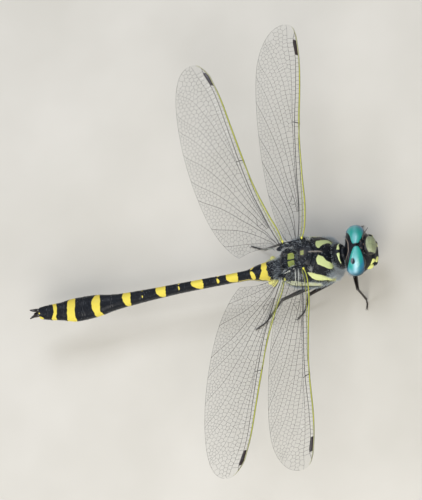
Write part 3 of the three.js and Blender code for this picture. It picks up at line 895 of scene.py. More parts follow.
# Marks on the thorax as (x, girth): girth in degrees from the dorsal midline about (0, -0.3),
# drawn for the left side; distances round the girth are taken at 0.08 mm to a degree.
thoraxPlan = {
    "inset": 0.12,  # the down stands on the skin by this much
    "rows": 260,
    "columns": 320,
    "girthScale": 0.08,
    "shoulderStripe": [
        (-11.3, 8), (-10.6, 12), (-10.2, 23), (-9.75, 32), (-9.4, 44), (-9.5, 57), (-9.9, 55),
        (-10.4, 46), (-10.8, 37.5), (-11.3, 31), (-11.75, 27), (-11.8, 18), (-11.65, 12),
    ],
    # the left shoulder stripe stays inside this outline, so it is slimmer at its front
    "leftTrim": [
        (-11.3, 0), (-11.0, 12), (-10.5, 21.5), (-10.0, 33.5),
        (-9.5, 43), (-9.7, 70), (-12.5, 70), (-12.5, 0),
    ],
    "sideStripe": [
        (-14.1, 38.1), (-13.46, 40.1), (-12.74, 49.9), (-11.85, 60.3), (-10.25, 101), (-10.9, 121),
        (-11.78, 87.6), (-13.53, 70), (-13.89, 58.2), (-14.09, 47.5),
    ],
    "rearStripe": [
        (-20.1, 62), (-18.4, 56), (-16.4, 66), (-14.8, 74), (-13.2, 92), (-13.6, 118),
        (-14.8, 104), (-16.6, 90), (-18.8, 80), (-20.2, 76),
    ],
    # marks on the back as (x, y)
    "scutellum": [(-14.7, 0), (-14.0, 0), (-13.95, 0.35), (-14.1, 0.5), (-14.7, 0.42)],
    "hollowSpot": [(-17.2, 0.12), (-17.15, 1.1), (-17.5, 1.5), (-18.5, 1.4), (-18.65, 0.2)],
    "collarSpot": [
        (-7.62, 0.3), (-7.6, 0.7), (-7.7, 1.3), (-7.82, 2.0),
        (-7.95, 2.15), (-8.02, 1.6), (-8.05, 1.0), (-8.12, 0.42),
    ],
    # sutures as lines of (x, girth), with depth and width in mm
    "grooves": [
        ([(-9.9, 105), (-11.2, 75), (-12.3, 55), (-13.3, 42)], 0.16, 0.16),
        ([(-13.2, 110), (-14.6, 88), (-16.6, 66), (-18.6, 52)], 0.14, 0.16),
        ([(-11.9, 4), (-12.4, 16), (-13.0, 28), (-13.3, 38)], 0.2, 0.2),
        ([(-15.2, 0), (-15.3, 14), (-15.0, 26), (-14.6, 34)], 0.22, 0.2),
        ([(-16.4, 0), (-16.5, 14), (-16.3, 28), (-15.9, 38)], 0.22, 0.22),
        ([(-12.2, 128), (-13.4, 132), (-14.9, 134)], 0.16, 0.2),
    ],
    # swollen plates between the wing roots: height, x, y on either side, radius
    "plates": [
        (0.14, -14.6, 0, 0.75),
        (0.16, -13.95, 1.6, 0.6),
        (0.2, -16.95, 2.3, 0.55),
        (-0.16, -15.3, 1.7, 0.45),
    ],
    "crossRidges": [(0.16, -15.85, 0.42, 1.7), (0.12, -19.3, 0.35, 1.5)],  # height, x, half sizes in x and y
    # the basin between the hindwings
    "hollowX": -17.75,
    "hollowFloor": 3.35,
    "hollowReach": {"front": 2.15, "rear": 3.6, "side": 2.7},  # it is open to the rear
    "hollowSquareness": 2.6,
}


def trunkRelief(rings, girth, side, scale, plan):
    # heights over the smooth trunk, in mm
    x, y, z = np.moveaxis(rings, -1, 0)
    lift = np.zeros(len(side))
    for line, depth, width in plan["grooves"]:
        away = lineAway(side, np.array(line) * scale)
        lift -= depth * bell(away, width)
        lift += 0.35 * depth * bell(away - 2.2 * width, width)
    lift = lift.reshape(x.shape)
    onTop = z > 0
    lift += 0.17 * bell(y, 0.14) * smoothStep(-9.8, -10.6, x) * smoothStep(-13.4, -12.7, x) * onTop  # keel
    for height, plateX, plateY, radius in plan["plates"]:
        lift += height * bell(np.hypot(x - plateX, np.abs(y) - plateY), radius) * onTop
    for height, ridgeX, halfX, halfY in plan["crossRidges"]:
        lift += height * bell(x - ridgeX, halfX) * bell(y, halfY) * onTop
    # collar between prothorax and thorax, and the lobes of the prothorax
    lift -= 0.35 * bell(x + 9.35, 0.22)
    lift += 0.16 * bell(x + 7.85, 0.3) * bell(np.abs(girth) - 28, 26)
    lift -= 0.2 * bell(x + 7.25, 0.18)
    return lift + 0.02 * roughness3d(rings, 1.3, 21) + 0.012 * roughness3d(rings, 0.5, 22)


def sinkHollow(rings, x, y, z, plan):
    # the back between the hindwings is sunk, with a ridge and two low humps on its floor
    power = plan["hollowSquareness"]
    reach = plan["hollowReach"]
    along = np.where(x > plan["hollowX"], reach["front"], reach["rear"])
    across = np.abs(y / reach["side"]) ** power
    away = (np.abs((x - plan["hollowX"]) / along) ** power + across) ** (1 / power)
    floorZ = plan["hollowFloor"] + 2.1 * smoothStep(0.45, 1.12, away)
    floorZ += 0.12 * bell(y, 0.16) + 0.16 * bell(np.hypot(x + 17.8, np.abs(y) - 0.75), 0.5)
    floorZ += 0.03 * roughness3d(rings, 0.6, 23)
    sunk = (z > 2) & (away < 1.12) & (rings[..., 2] > floorZ)
    rings[..., 2] = np.where(sunk, floorZ, rings[..., 2])


def trunkColours(x, y, z, side, scale, plan):
    onSide = {
        key: insideBy(side, np.array(plan[key]) * scale)
        for key in ("shoulderStripe", "sideStripe", "rearStripe", "leftTrim")
    }
    trimmed = np.minimum(onSide["shoulderStripe"], onSide["leftTrim"])
    shoulder = np.where(y.ravel() > 0, trimmed, onSide["shoulderStripe"])
    flat = np.stack([x, np.abs(y)], -1).reshape(-1, 2)
    onBack = (z > 0).ravel()
    middle = onBack & (flat[:, 0] > -15) & (flat[:, 0] < -13.6)
    fields = [shoulder, onSide["sideStripe"], onSide["rearStripe"]]
    for key, where in (("hollowSpot", onBack), ("collarSpot", onBack), ("scutellum", middle)):
        fields.append(np.where(where, insideBy(flat, plan[key]), -1))
    sideStripe, rearStripe = (smoothStep(-0.1, 0.1, field.reshape(x.shape)) for field in fields[1:3])
    # painted shade: the marks on the sunk back between the hindwings are dulled to olive; at the scutellum
    # the olive is its own tone
    olive = ((np.abs(y) < 2) & (z > 2)) * np.where(x < -16, 0.8, np.where(x < -13.5, 0.9, 0.0))
    pale = 0.8 * bell(y, 0.12) * smoothStep(-10.4, -10.9, x) * smoothStep(-13.2, -12.8, x) * (z > 0)
    pale += 0.3 * bell(np.hypot(x + 14.35, y), 0.6) * (z > 0)
    yellow = np.max(fields, axis=0).reshape(x.shape)
    return {"yellow": yellow, "pale": pale, "deep": rearStripe, "bright": 0.6 * sideStripe, "olive": olive}


def buildTrunk(plan):
    at = easedSteps(-6.2, -20.95, plan["rows"], 0.15)
    rings = skinGrid(trunkStations, at, plan["columns"], plan["inset"], 0.6, 0.5)
    x, y, z = np.moveaxis(rings, -1, 0)  # views, so they follow the relief
    girth = np.degrees(np.arctan2(y, z + 0.3))
    side = np.stack([x, np.abs(girth) * plan["girthScale"]], -1).reshape(-1, 2)
    scale = np.array([1, plan["girthScale"]])
    lift = trunkRelief(rings, girth, side, scale, plan)
    rings += gridNormals(rings) * lift[..., None]
    sinkHollow(rings, x, y, z, plan)
    colours = trunkColours(x, y, z, side, scale, plan)
    values = {key: capped(field) for key, field in colours.items()}
    buildPiece("thorax_skin", closedLoft(rings), thoraxChitin, ("prothorax", "thorax"), values)
    return rings, colours["yellow"]


trunkRings, trunkYellow = buildTrunk(thoraxPlan)
print("thorax ready")

# abdomen
abdomenProfile = [
    # distance back, half width, top, bottom
    (21.0, 2.25, 2.2, -2.15), (22.5, 1.95, 2.0, -2.15), (24.6, 1.85, 1.95, -2.1), (26.6, 1.5, 1.7, -1.75),
    (28.4, 1.05, 1.35, -1.3), (31.0, 0.95, 1.2, -1.1), (35.6, 0.95, 1.15, -1.1), (43.7, 1.02, 1.15, -1.1),
    (51.7, 1.25, 1.25, -1.25), (58.3, 1.7, 1.4, -1.45), (61.4, 2.25, 1.6, -1.65), (64.4, 2.45, 1.65, -1.7),
    (67.0, 2.4, 1.6, -1.7), (69.6, 1.85, 1.4, -1.5), (71.9, 1.6, 1.2, -1.3), (74.1, 1.2, 0.9, -0.95),
]
abdomenPlan = {
    "inset": 0.04,
    "rows": 610,
    "columns": 160,
    "ends": (20.6, 74.12),
    "segmentEnds": [22.5, 28.4, 35.6, 43.7, 51.7, 58.3, 64.4, 68.6, 71.9],
    "tailLift": {"start": 65, "end": 77, "up": 1.0, "left": 0.6},
    "waistSway": {"start": 27, "end": 60, "left": 0.15},
    "roll": 15,  # degrees the abdomen is rolled to the left
    # front and rear edges of the yellow rings, read at these girths (degrees round from the
    # dorsal midline, + to the left), and how far each ring reaches round
    "girths": (-105, -80, -50, -20, 10, 40, 70),
    "rings": [
        ((24.9, 23.7, 23.75, 23.8, 23.85, 24.0, 24.3), (25.6, 26.0, 25.7, 25.1, 25.0, 25.15, 25.6), 110),
        ((31.2, 30.8, 30.55, 30.45, 30.5, 30.6, 30.85), (31.6, 32.3, 32.8, 33.0, 33.0, 33.15, 33.35), 125),
        ((38.6, 38.4, 38.15, 38.05, 38.15, 38.3, 38.55), (39.2, 39.5, 40.05, 40.55, 40.7, 40.7, 40.8), 125),
        ((46.9, 46.6, 46.4, 46.3, 46.25, 46.3, 46.5), (47.4, 47.7, 48.0, 48.3, 48.38, 48.45, 48.55), 125),
        ((54.5, 54.2, 54.1, 53.95, 53.87, 54.0, 54.25), (55.1, 55.25, 55.4, 55.6, 55.7, 55.65, 55.6), 125),
        (
            (60.5, 60.45, 60.72, 60.55, 60.45, 60.6, 60.85),
            (61.95, 62.05, 62.05, 62.3, 62.25, 61.85, 61.3),
            130,
        ),
        ((66.4, 66.15, 66.15, 66.08, 65.9, 65.95, 66.25), (68.4, 68.15, 67.9, 67.75, 67.6, 67.6, 67.2), 140),
        (
            (70.55, 70.35, 70.3, 69.95, 69.88, 70.05, 70.3),
            (71.45, 71.45, 71.1, 70.65, 70.6, 70.85, 71.2),
            140,
        ),
    ],
    # the ear-shaped lobe of the second segment, as overlapping lumps: centre and half sizes
    "auricle": [
        ((-23.45, 2.75, -0.75), (0.56, 0.52, 0.5)),
        ((-23.0, 2.3, -0.5), (0.65, 0.6, 0.5)),
        ((-24.0, 2.2, -0.7), (0.7, 0.5, 0.45)),
    ],
    # spots before the rear of a segment: rear edge, middle girth, half girth, depth
    "spots": [
        (27.62, -42, 46, 1.0), (27.62, 43, 28, 0.75), (35.1, -26, 32, 0.55), (35.1, 50, 24, 0.5),
        (43.5, -20, 24, 0.3), (43.5, 36, 18, 0.28), (51.45, -24, 14, 0.18), (51.45, 38, 10, 0.14),
        (73.95, -72, 26, 0.9), (73.95, 96, 24, 0.7), (73.9, -14, 9, 0.3),
    ],
}


def tailShift(back, plan):
    # how far the axis of the abdomen swings to the left, and up
    lift, sway = plan["tailLift"], plan["waistSway"]
    swing = smoothStep(lift["start"], lift["end"], back)
    bow = np.clip((back - sway["start"]) / (sway["end"] - sway["start"]), 0, 1)
    return lift["left"] * swing + sway["left"] * np.sin(math.pi * bow) ** 2, lift["up"] * swing


def segmentRelief(b, g, radius, plan):
    # heights over the smooth abdomen by distance back and girth, in mm
    lift = np.zeros(b.shape)
    thick = 0.04 * np.clip(radius / 1.4, 0.6, 1.3)
    for end in plan["segmentEnds"]:
        lift += thick * bell(b - end + 0.16, 0.14)  # the raised rim of each segment
        lift -= 2.2 * thick * bell(b - end - 0.05, 0.08)  # and the soft joint behind it
        lift -= 0.3 * thick * smoothStep(end, end + 0.2, b) * smoothStep(end + 1.0, end + 0.3, b)
    lift += 0.035 * smoothStep(28, 34, b) * bell(g, 7)  # the keel along the back
    fold = bell(np.abs(g) - 122, 9) - 0.8 * bell(np.abs(g) - 138, 9)
    lift += 0.07 * fold * smoothStep(22.5, 24, b)  # edge of the back plate over the belly
    lift -= 0.08 * smoothStep(140, 165, np.abs(g)) * smoothStep(24, 30, b)
    ears = np.hypot((b - 24.0) / 0.8, (np.abs(g) - 100) / 17)
    lift += 0.2 * bell(ears, 1.0)  # the swelling under the side lobes of the second segment
    # the genital lobe below the second segment, with its cleft
    belly = np.abs(g) - 180
    return lift + 0.34 * bell(b - 25.6, 1.5) * bell(belly, 34) - 0.3 * bell(b - 25.6, 0.9) * bell(belly, 12)


def abdomenMarks(b, g, radius, plan):
    # distance inside the yellow marks, in mm
    field = np.full(b.shape, -1.0)
    arc = radius * math.pi / 180  # mm to a degree of girth
    reading = np.where(g > plan["girths"][-1], 2 * plan["roll"] - g, g)
    reading = np.clip(reading, plan["girths"][0], plan["girths"][-1])
    ragged = 0.035 * np.sin(g / 6.1) + 0.02 * np.sin(g / 3.7 + 1)
    for front, rear, reach in plan["rings"]:
        teeth = ragged * (2.0 if front[0] < 25 else 0.8)
        behindFront = b - curveThrough(reading, plan["girths"], front) + teeth
        beforeRear = curveThrough(reading, plan["girths"], rear) - b + teeth
        fade = (reach - np.abs(g - plan["roll"])) * arc
        field = np.maximum(field, np.minimum(np.minimum(behindFront, beforeRear), fade))
    for rear, middle, reach, depth in plan["spots"]:
        share = 1 - ((g - middle) / reach) ** 2
        front = rear - depth * np.sqrt(np.clip(share, 0, 1))
        field = np.maximum(field, np.where(share > 0, np.minimum(rear - b, b - front), -1))
    ear = (1 - np.hypot((b - 24.0) / 0.75, (np.abs(g) - 103) / 16)) * 0.5
    seam = np.minimum(0.16 - np.abs((np.abs(g) - 96) * arc), np.minimum(b - 26.2, 30.8 - b))
    return np.max([field, ear, seam], axis=0)


def buildAbdomen(plan):
    profile = np.array(abdomenProfile)
    back = np.linspace(*plan["ends"], plan["rows"])
    girth = ringAngles(plan["columns"])
    half, top, bottom = (curveThrough(back, profile[:, 0], profile[:, k]) - plan["inset"] for k in (1, 2, 3))
    bottom += 2 * plan["inset"]
    across, upward = roundedSides(girth, 0.92)
    endRound = np.sqrt(np.clip(1 - (1 - np.clip((74.14 - back) / 0.35, 0.02, 1)) ** 2, 0, 1))
    left, up = tailShift(back, plan)
    tall = np.where(upward > 0, top[:, None], -bottom[:, None])
    y = left[:, None] + half[:, None] * across * endRound[:, None]
    z = up[:, None] + tall * upward * endRound[:, None]
    rings = np.stack([np.repeat(-back[:, None], plan["columns"], 1), y, z], -1)
    degrees = np.degrees(girth)
    b, g = np.meshgrid(back, np.where(degrees > 180, degrees - 360, degrees), indexing="ij")
    radius = np.sqrt(half * (top - bottom) / 2)[:, None]
    lift = segmentRelief(b, g, radius, plan)
    lift += 0.008 * roughness3d(rings, 0.45, 31) + 0.01 * roughness3d(rings, 1.6, 32)
    rings += gridNormals(rings) * lift[..., None]
    field = abdomenMarks(b, g, radius, plan)
    pale = 0.2 * smoothStep(22.9, 21.5, b) * smoothStep(120, 60, np.abs(g))
    deep = 0.35 * smoothStep(-20, 75, g)
    values = {"yellow": capped(field), "deep": capped(deep), "pale": capped(pale)}
    nodes = ["abdomen_" + str(k) for k in range(1, 11)]
    buildPiece("abdomen_skin", closedLoft(rings), abdomenChitin, nodes, values)
    return rings, b, g, field


def buildAuricles(plan):
    lobes = [
        blob((x, y * sign, z), radii, (36, 24))
        for sign in sidesOfBody.values()
        for (x, y, z), radii in plan["auricle"]
    ]
    points, faceSets = joined(lobes)
    points = points + 0.03 * roughness3d(points, 0.4, 33)[:, None] * (0, 1, 1)
    # painted light: the ear lobes lie on the shaded side and are lightened towards pale yellow, as if lit
    # and glinting
    values = {"yellow": np.full(len(points), 0.4), "bright": np.full(len(points), 0.5)}
    buildPiece("auricles", (points, faceSets), abdomenChitin, (), values)


buildAuricles(abdomenPlan)
abdomenRings, abdomenBack, abdomenGirth, abdomenYellow = buildAbdomen(abdomenPlan)

claspersPlan = {
    # paths as (x, out from the tail's middle, up from it), and radii at places along them
    "cercus": [(-73.9, 0.52, 0.25), (-74.6, 0.58, 0.34), (-75.3, 0.68, 0.36), (-76.05, 0.94, 0.24)],
    "cercusRadii": ([0, 0.5, 1.2, 2.2, 2.8, 3], [0.3, 0.36, 0.34, 0.24, 0.13, 0.03]),
    "epiproct": [(-73.9, 0, -0.35), (-74.7, 0, -0.5), (-75.45, 0, -0.42)],
    "epiproctRadii": ([0, 0.6, 1.6, 2], [0.55, 0.62, 0.5, 0.3]),
}


def buildClaspers(plan):
    left, up = tailShift(75.0, abdomenPlan)
    for side, sign in sidesOfBody.items():
        s, path = pathThrough(np.array(plan["cercus"]) * (1, sign, 1) + (0, left, up), 36)
        name = "cercus_" + side
        shape = tube(path, np.interp(s, *plan["cercusRadii"]), 14)
        buildPiece(name + "_skin", shape, legSurface, (name,))
    s, path = pathThrough(np.array(plan["epiproct"]) + (0, left, up), 24)
    shape = tube(path, np.interp(s, *plan["epiproctRadii"]), 16, 0.42)
    buildPiece("epiproct_skin", shape, legSurface, ("epiproct",))


buildClaspers(claspersPlan)
print("abdomen ready")

# legs
legPlan = {
    # hip, trochanter, knee, ankle and toe, as they lie on the left side
    "foreleg_left": [
        (-8.3, 1.0, -2.2), (-7.4, 2.3, -3.7), (-6.4, 5.2, -2.6), (-6.7, 6.2, -6.7), (-6.4, 8.1, -7.35),
    ],
    "foreleg_right": [
        (-8.3, 1.0, -2.2), (-7.2, 2.5, -3.6), (-6.1, 6.8, -2.0), (-6.3, 7.4, -6.7), (-6.5, 9.0, -7.35),
    ],
    "midleg": [
        (-11.6, 1.5, -3.6), (-12.4, 2.8, -5.0), (-16.9, 5.7, -2.6), (-19.3, 6.7, -6.7), (-21.4, 8.4, -7.35),
    ],
    "hindleg": [
        (-15.0, 1.7, -3.6), (-16.0, 2.9, -4.8), (-22.4, 5.9, -1.9), (-27.4, 7.4, -6.7), (-30.4, 8.8, -7.35),
    ],
    "femurWidth": 1.02,
    "tibiaWidth": 0.52,
    "tarsusWidth": 0.36,
    "heelHeight": -7.38,
    # spines in two rows: how many to a row, length, width
    "femurSpines": (9, 0.42, 0.07),
    "tibiaSpines": (10, 0.75, 0.06),
}


def unit(vector):
    return vector / np.linalg.norm(vector)


def limb(start, end, places, radii, steps, sides=14):
    # a straight stretch of leg, with its radii at shares of its length
    s = np.linspace(0, 1, steps)
    path = start + (end - start) * s[:, None]
    return tube(path, np.interp(s, places, radii), sides)


def spurs(start, end, outward, size):
    # two rows of stiff spines down a leg
    count, length, width = size
    t = np.repeat(np.linspace(0.12, 0.95, count), 2)
    roots = start + (end - start) * t[:, None]
    along = unit(end - start)
    flip = np.tile([1, -1], count)[:, None]
    tips = roots + length * (0.62 * along - 0.55 * outward + 0.5 * unit(np.cross(along, outward)) * flip)
    return bristles(roots, tips, np.full(len(t), width), 0.0)


def claws(toe, forward):
    across = np.cross(forward, (0, 0, 1))
    for flip in (1, -1):
        middle = toe + 0.3 * forward + 0.16 * flip * across + (0, 0, 0.1)
        tip = toe + 0.52 * forward + 0.22 * flip * across + (0, 0, -0.14)
        s, path = pathThrough([toe, middle, tip], 9)
        yield tube(path, np.interp(s, [0, 1, 2], [0.07, 0.06, 0.012]), 8)


def buildLeg(name, knots, plan):
    hip, trochanter, knee, ankle, toe = (np.array(p, float) for p in knots)
    heel = ankle + (toe - ankle) * 0.4
    heel[2] = plan["heelHeight"]
    toe = toe + (0, 0, -0.04)
    femur, tibia, tarsus = (plan[k] / 2 for k in ("femurWidth", "tibiaWidth", "tarsusWidth"))
    femurRadii = [0.36, femur, femur * 0.95, 0.34, 0.36, 0.28]
    tibiaRadii = [0.24, tibia, tibia * 0.86, tibia * 0.92, 0.18]
    shapes = [
        limb(hip, trochanter, [0, 0.8, 1], [0.56, 0.56, 0.45], 16),
        blob(trochanter, (0.46, 0.46, 0.46)),
        limb(trochanter, knee, [0, 0.1, 0.3, 0.85, 0.95, 1], femurRadii, 30),
        blob(knee, (0.33, 0.33, 0.33)),
        limb(knee, ankle, [0, 0.08, 0.5, 0.95, 1], tibiaRadii, 30),
        blob(ankle, (0.22, 0.22, 0.22)),
    ]
    joints = [ankle, heel, heel + (toe - heel) * 0.35, toe]
    for a, b in zip(joints, joints[1:]):
        shapes.append(limb(a, b, [0, 0.15, 0.9, 1], [0.13, tarsus * 0.8, tarsus, 0.12], 10, 10))
    shapes += claws(toe, unit(toe - heel))
    outward = unit(np.array([0, math.copysign(1, knee[1]), 0.35]))
    shapes.append(spurs(trochanter, knee, outward, plan["femurSpines"]))
    shapes.append(spurs(knee, ankle, outward, plan["tibiaSpines"]))
    nodes = [name + part for part in ("_coxa", "_femur", "_tibia", "_tarsus")]
    buildPiece(name + "_skin", joined(shapes), legSurface, nodes)


for side, sign in sidesOfBody.items():
    for pair in ("foreleg", "midleg", "hindleg"):
        knots = legPlan.get(pair + "_" + side) or legPlan[pair]
        buildLeg(pair + "_" + side, [(x, sign * y, z) for x, y, z in knots], legPlan)
print("legs ready")

# wings
forewing = {
    "length": 44.2,
    "root": (-14.2, 3.15, 5.75),
    "dihedral": 6.5,
    "pitch": -4,
    "sweep": {"left": 4.4, "right": 1.9},
    "inner": 1.3,
    "rootChord": 3.6,
    "lead": [
        (0, 0), (0.035, -0.55), (0.12, -0.95), (0.3, -0.5),
        (0.53, -0.12), (0.74, -0.55), (0.84, -0.5), (0.935, -0.05),
    ],
    "curves": [
        [(0.935, -0.05), (0.972, 0.25), (1, 0.9), (1, 2.5)],
        [(1, 2.5), (1, 5.4), (0.94, 7.6), (0.85, 8.7)],
        [(0.85, 8.7), (0.73, 10.1), (0.45, 9.2), (0.25, 7.5)],
        [(0.25, 7.5), (0.14, 6.5), (0.05, 5.4), (0, 3.6)],
    ],
    "nodus": 23.6,
    "stigma": (37.45, 40.6),
    "arculus": 5.6,
    "membranule": (2.0, 0.42),  # how far it reaches along the wing, and its width
    "folds": (1.3, 2.0),  # chords of the pale folds at the root
    # long veins from front to rear: the radius in mm, and points of (share of the length, share of
    # the chord); Sc subcosta, R and RP radius, IR between them, M media, Cu cubitus, A anal vein
    "veins": [
        (0.07, [(0, 0.16), (0.1, 0.13), (0.3, 0.07), (0.5, 0.025), (0.534, 0), (1, 0)]),  # Sc
        (0.085, [
            (0, 0.28), (0.1, 0.22), (0.3, 0.155), (0.534, 0.11), (0.74, 0.09),
            (0.86, 0.085), (0.93, 0.095), (0.97, 0), (1, 0),
        ]),  # R1
        (0.05, [
            (0, 0.28), (0.13, 0.23), (0.3, 0.2), (0.534, 0.17), (0.7, 0.19),
            (0.86, 0.24), (0.94, 0.3), (0.985, 0.3), (1, 0.3),
        ]),  # RP1
        (0.025, [
            (0, 0.28), (0.13, 0.23), (0.3, 0.2), (0.534, 0.17), (0.68, 0.22),
            (0.8, 0.36), (0.9, 0.6), (0.96, 1), (1, 1),
        ]),  # IR1
        (0.04, [
            (0, 0.28), (0.13, 0.23), (0.3, 0.2), (0.534, 0.18), (0.65, 0.29),
            (0.8, 0.5), (0.9, 0.8), (0.94, 1), (1, 1),
        ]),  # RP2
        (0.04, [
            (0, 0.28), (0.13, 0.23), (0.3, 0.22), (0.45, 0.3),
            (0.6, 0.44), (0.75, 0.69), (0.86, 1), (1, 1),
        ]),  # IR2
        (0.04, [
            (0, 0.28), (0.13, 0.25), (0.3, 0.31), (0.45, 0.42),
            (0.6, 0.62), (0.72, 0.85), (0.78, 1), (1, 1),
        ]),  # RP3
        (0.045, [
            (0, 0.28), (0.13, 0.28), (0.3, 0.44), (0.45, 0.6), (0.58, 0.83), (0.66, 1), (1, 1),
        ]),  # MA
        (0.045, [
            (0, 0.42), (0.13, 0.42), (0.175, 0.49), (0.3, 0.62), (0.42, 0.82), (0.5, 1), (1, 1),
        ]),  # MP
        (0.05, [
            (0, 0.42), (0.1, 0.5), (0.175, 0.6), (0.25, 0.74), (0.33, 0.9), (0.38, 1), (1, 1),
        ]),  # CuA
        (0.045, [(0, 0.62), (0.08, 0.72), (0.15, 0.84), (0.22, 1), (1, 1)]),  # A
    ],
    "triangle": [(0.16, 8), (0.205, 8), (0.168, 9)],  # share of the length, long vein
    "cell": 0.95,
}
hindwing = {
    "length": 43.2,
    "root": (-19.2, 3.85, 3.85),
    "dihedral": 5.5,
    "pitch": -4,
    "sweep": {"left": -18.2, "right": -14},
    "inner": 1.1,
    "rootChord": 2.4,
    "lead": [
        (0, 0), (0.045, -0.2), (0.15, 0.25), (0.3, 0.68),
        (0.45, 0.6), (0.62, 0.2), (0.8, -0.2), (0.905, 0),
    ],
    "curves": [
        [(0.905, 0), (0.955, 0.55), (1, 1.5), (1, 3.4)],
        [(1, 3.4), (1, 6.2), (0.93, 8.3), (0.82, 9.9)],
        [(0.82, 9.9), (0.66, 12.2), (0.5, 12.9), (0.36, 13.0)],
        [(0.36, 13.0), (0.23, 13.1), (0.11, 12.0), (0.045, 9.9)],
        [(0.045, 9.9), (0.05, 8.0), (0.035, 4.6), (0, 2.4)],
    ],
    "nodus": 19.7,
    "stigma": (36.9, 40.1),
    "arculus": 4.3,
    "membranule": (1.5, 0.5),
    "folds": (0.75, 1.2),
    "veins": [
        (0.07, [
            (0, 0.16), (0.04, 0.09), (0.1, 0.07), (0.3, 0.04), (0.42, 0.015), (0.456, 0), (1, 0),
        ]),  # Sc
        (0.085, [
            (0, 0.34), (0.04, 0.16), (0.1, 0.12), (0.3, 0.092), (0.456, 0.08),
            (0.7, 0.072), (0.86, 0.078), (0.93, 0.095), (0.97, 0), (1, 0),
        ]),  # R1
        (0.05, [
            (0, 0.34), (0.04, 0.16), (0.1, 0.13), (0.3, 0.13), (0.456, 0.13),
            (0.7, 0.165), (0.86, 0.22), (0.94, 0.3), (0.985, 0.3), (1, 0.3),
        ]),  # RP1
        (0.025, [
            (0, 0.34), (0.04, 0.16), (0.1, 0.13), (0.3, 0.13), (0.456, 0.13),
            (0.6, 0.18), (0.75, 0.31), (0.88, 0.55), (0.95, 1), (1, 1),
        ]),  # IR1
        (0.04, [
            (0, 0.34), (0.04, 0.16), (0.1, 0.13), (0.3, 0.13), (0.456, 0.14),
            (0.6, 0.24), (0.75, 0.41), (0.86, 0.66), (0.925, 1), (1, 1),
        ]),  # RP2
        (0.04, [
            (0, 0.34), (0.04, 0.16), (0.1, 0.14), (0.25, 0.16), (0.4, 0.24),
            (0.55, 0.38), (0.7, 0.6), (0.83, 1), (1, 1),
        ]),  # IR2
        (0.04, [
            (0, 0.34), (0.04, 0.16), (0.1, 0.15), (0.25, 0.22), (0.4, 0.33),
            (0.55, 0.51), (0.68, 0.78), (0.75, 1), (1, 1),
        ]),  # RP3
        (0.045, [
            (0, 0.34), (0.04, 0.16), (0.1, 0.18), (0.25, 0.31),
            (0.4, 0.47), (0.53, 0.71), (0.63, 1), (1, 1),
        ]),  # MA
        (0.045, [
            (0, 0.5), (0.04, 0.26), (0.13, 0.28), (0.25, 0.43), (0.36, 0.62), (0.5, 1), (1, 1),
        ]),  # MP
        (0.05, [(0, 0.5), (0.04, 0.28), (0.13, 0.34), (0.2, 0.47), (0.3, 0.68), (0.4, 1), (1, 1)]),  # CuA
        (0.045, [(0, 0.7), (0.04, 0.36), (0.1, 0.42), (0.16, 0.6), (0.24, 1), (1, 1)]),  # A1
        (0.035, [(0, 0.8), (0.04, 0.42), (0.07, 0.56), (0.13, 1), (1, 1)]),  # A2
    ],
    "triangle": [(0.13, 8), (0.175, 8), (0.135, 9)],
    "cell": 0.95,
}
wingPlan = {
    "film": 0.03,  # thickness the film is drawn with
    "fold": 0.13,  # height of the pleats between the front veins
    "crossVein": 0.024,  # radii of the veins
    "rearVein": 0.022,
    "triangleVein": 0.04,
    "costa": 0.14,
    "antenodal": 1.23,  # spacing of the cross veins before and after the nodus
    "postnodal": 0.9,
    "evenings": 5,  # rounds that even out the cells
}


def bezier(corners, length, steps=60):
    p = np.array(corners, float) * (length, 1)
    t = np.linspace(0, 1, steps)[:, None]
    return (1 - t) ** 3 * p[0] + 3 * t * (1 - t) ** 2 * p[1] + 3 * t**2 * (1 - t) * p[2] + t**3 * p[3]


def wingEdges(wing):
    # leading and trailing edge of a wing as (span, chord) lines
    length, inner, root = wing["length"], wing["inner"], wing["rootChord"]
    lead = np.array(wing["lead"], float) * (length, 1)
    s = np.linspace(0, lead[-1, 0], 160)
    first = np.stack([s, curveThrough(s, lead[:, 0], lead[:, 1])], -1)
    curves = [bezier(corners, length) for corners in wing["curves"]]
    front = np.concatenate([[(-inner, 0.25)], first, curves[0][1:]])
    rear = np.concatenate(curves[1:])[::-1]
    rear = np.concatenate([[(-inner, root - 0.15)], rear])
    rear[:, 0] = np.maximum.accumulate(rear[:, 0] + np.arange(len(rear)) * 1e-7)
    return front, rear


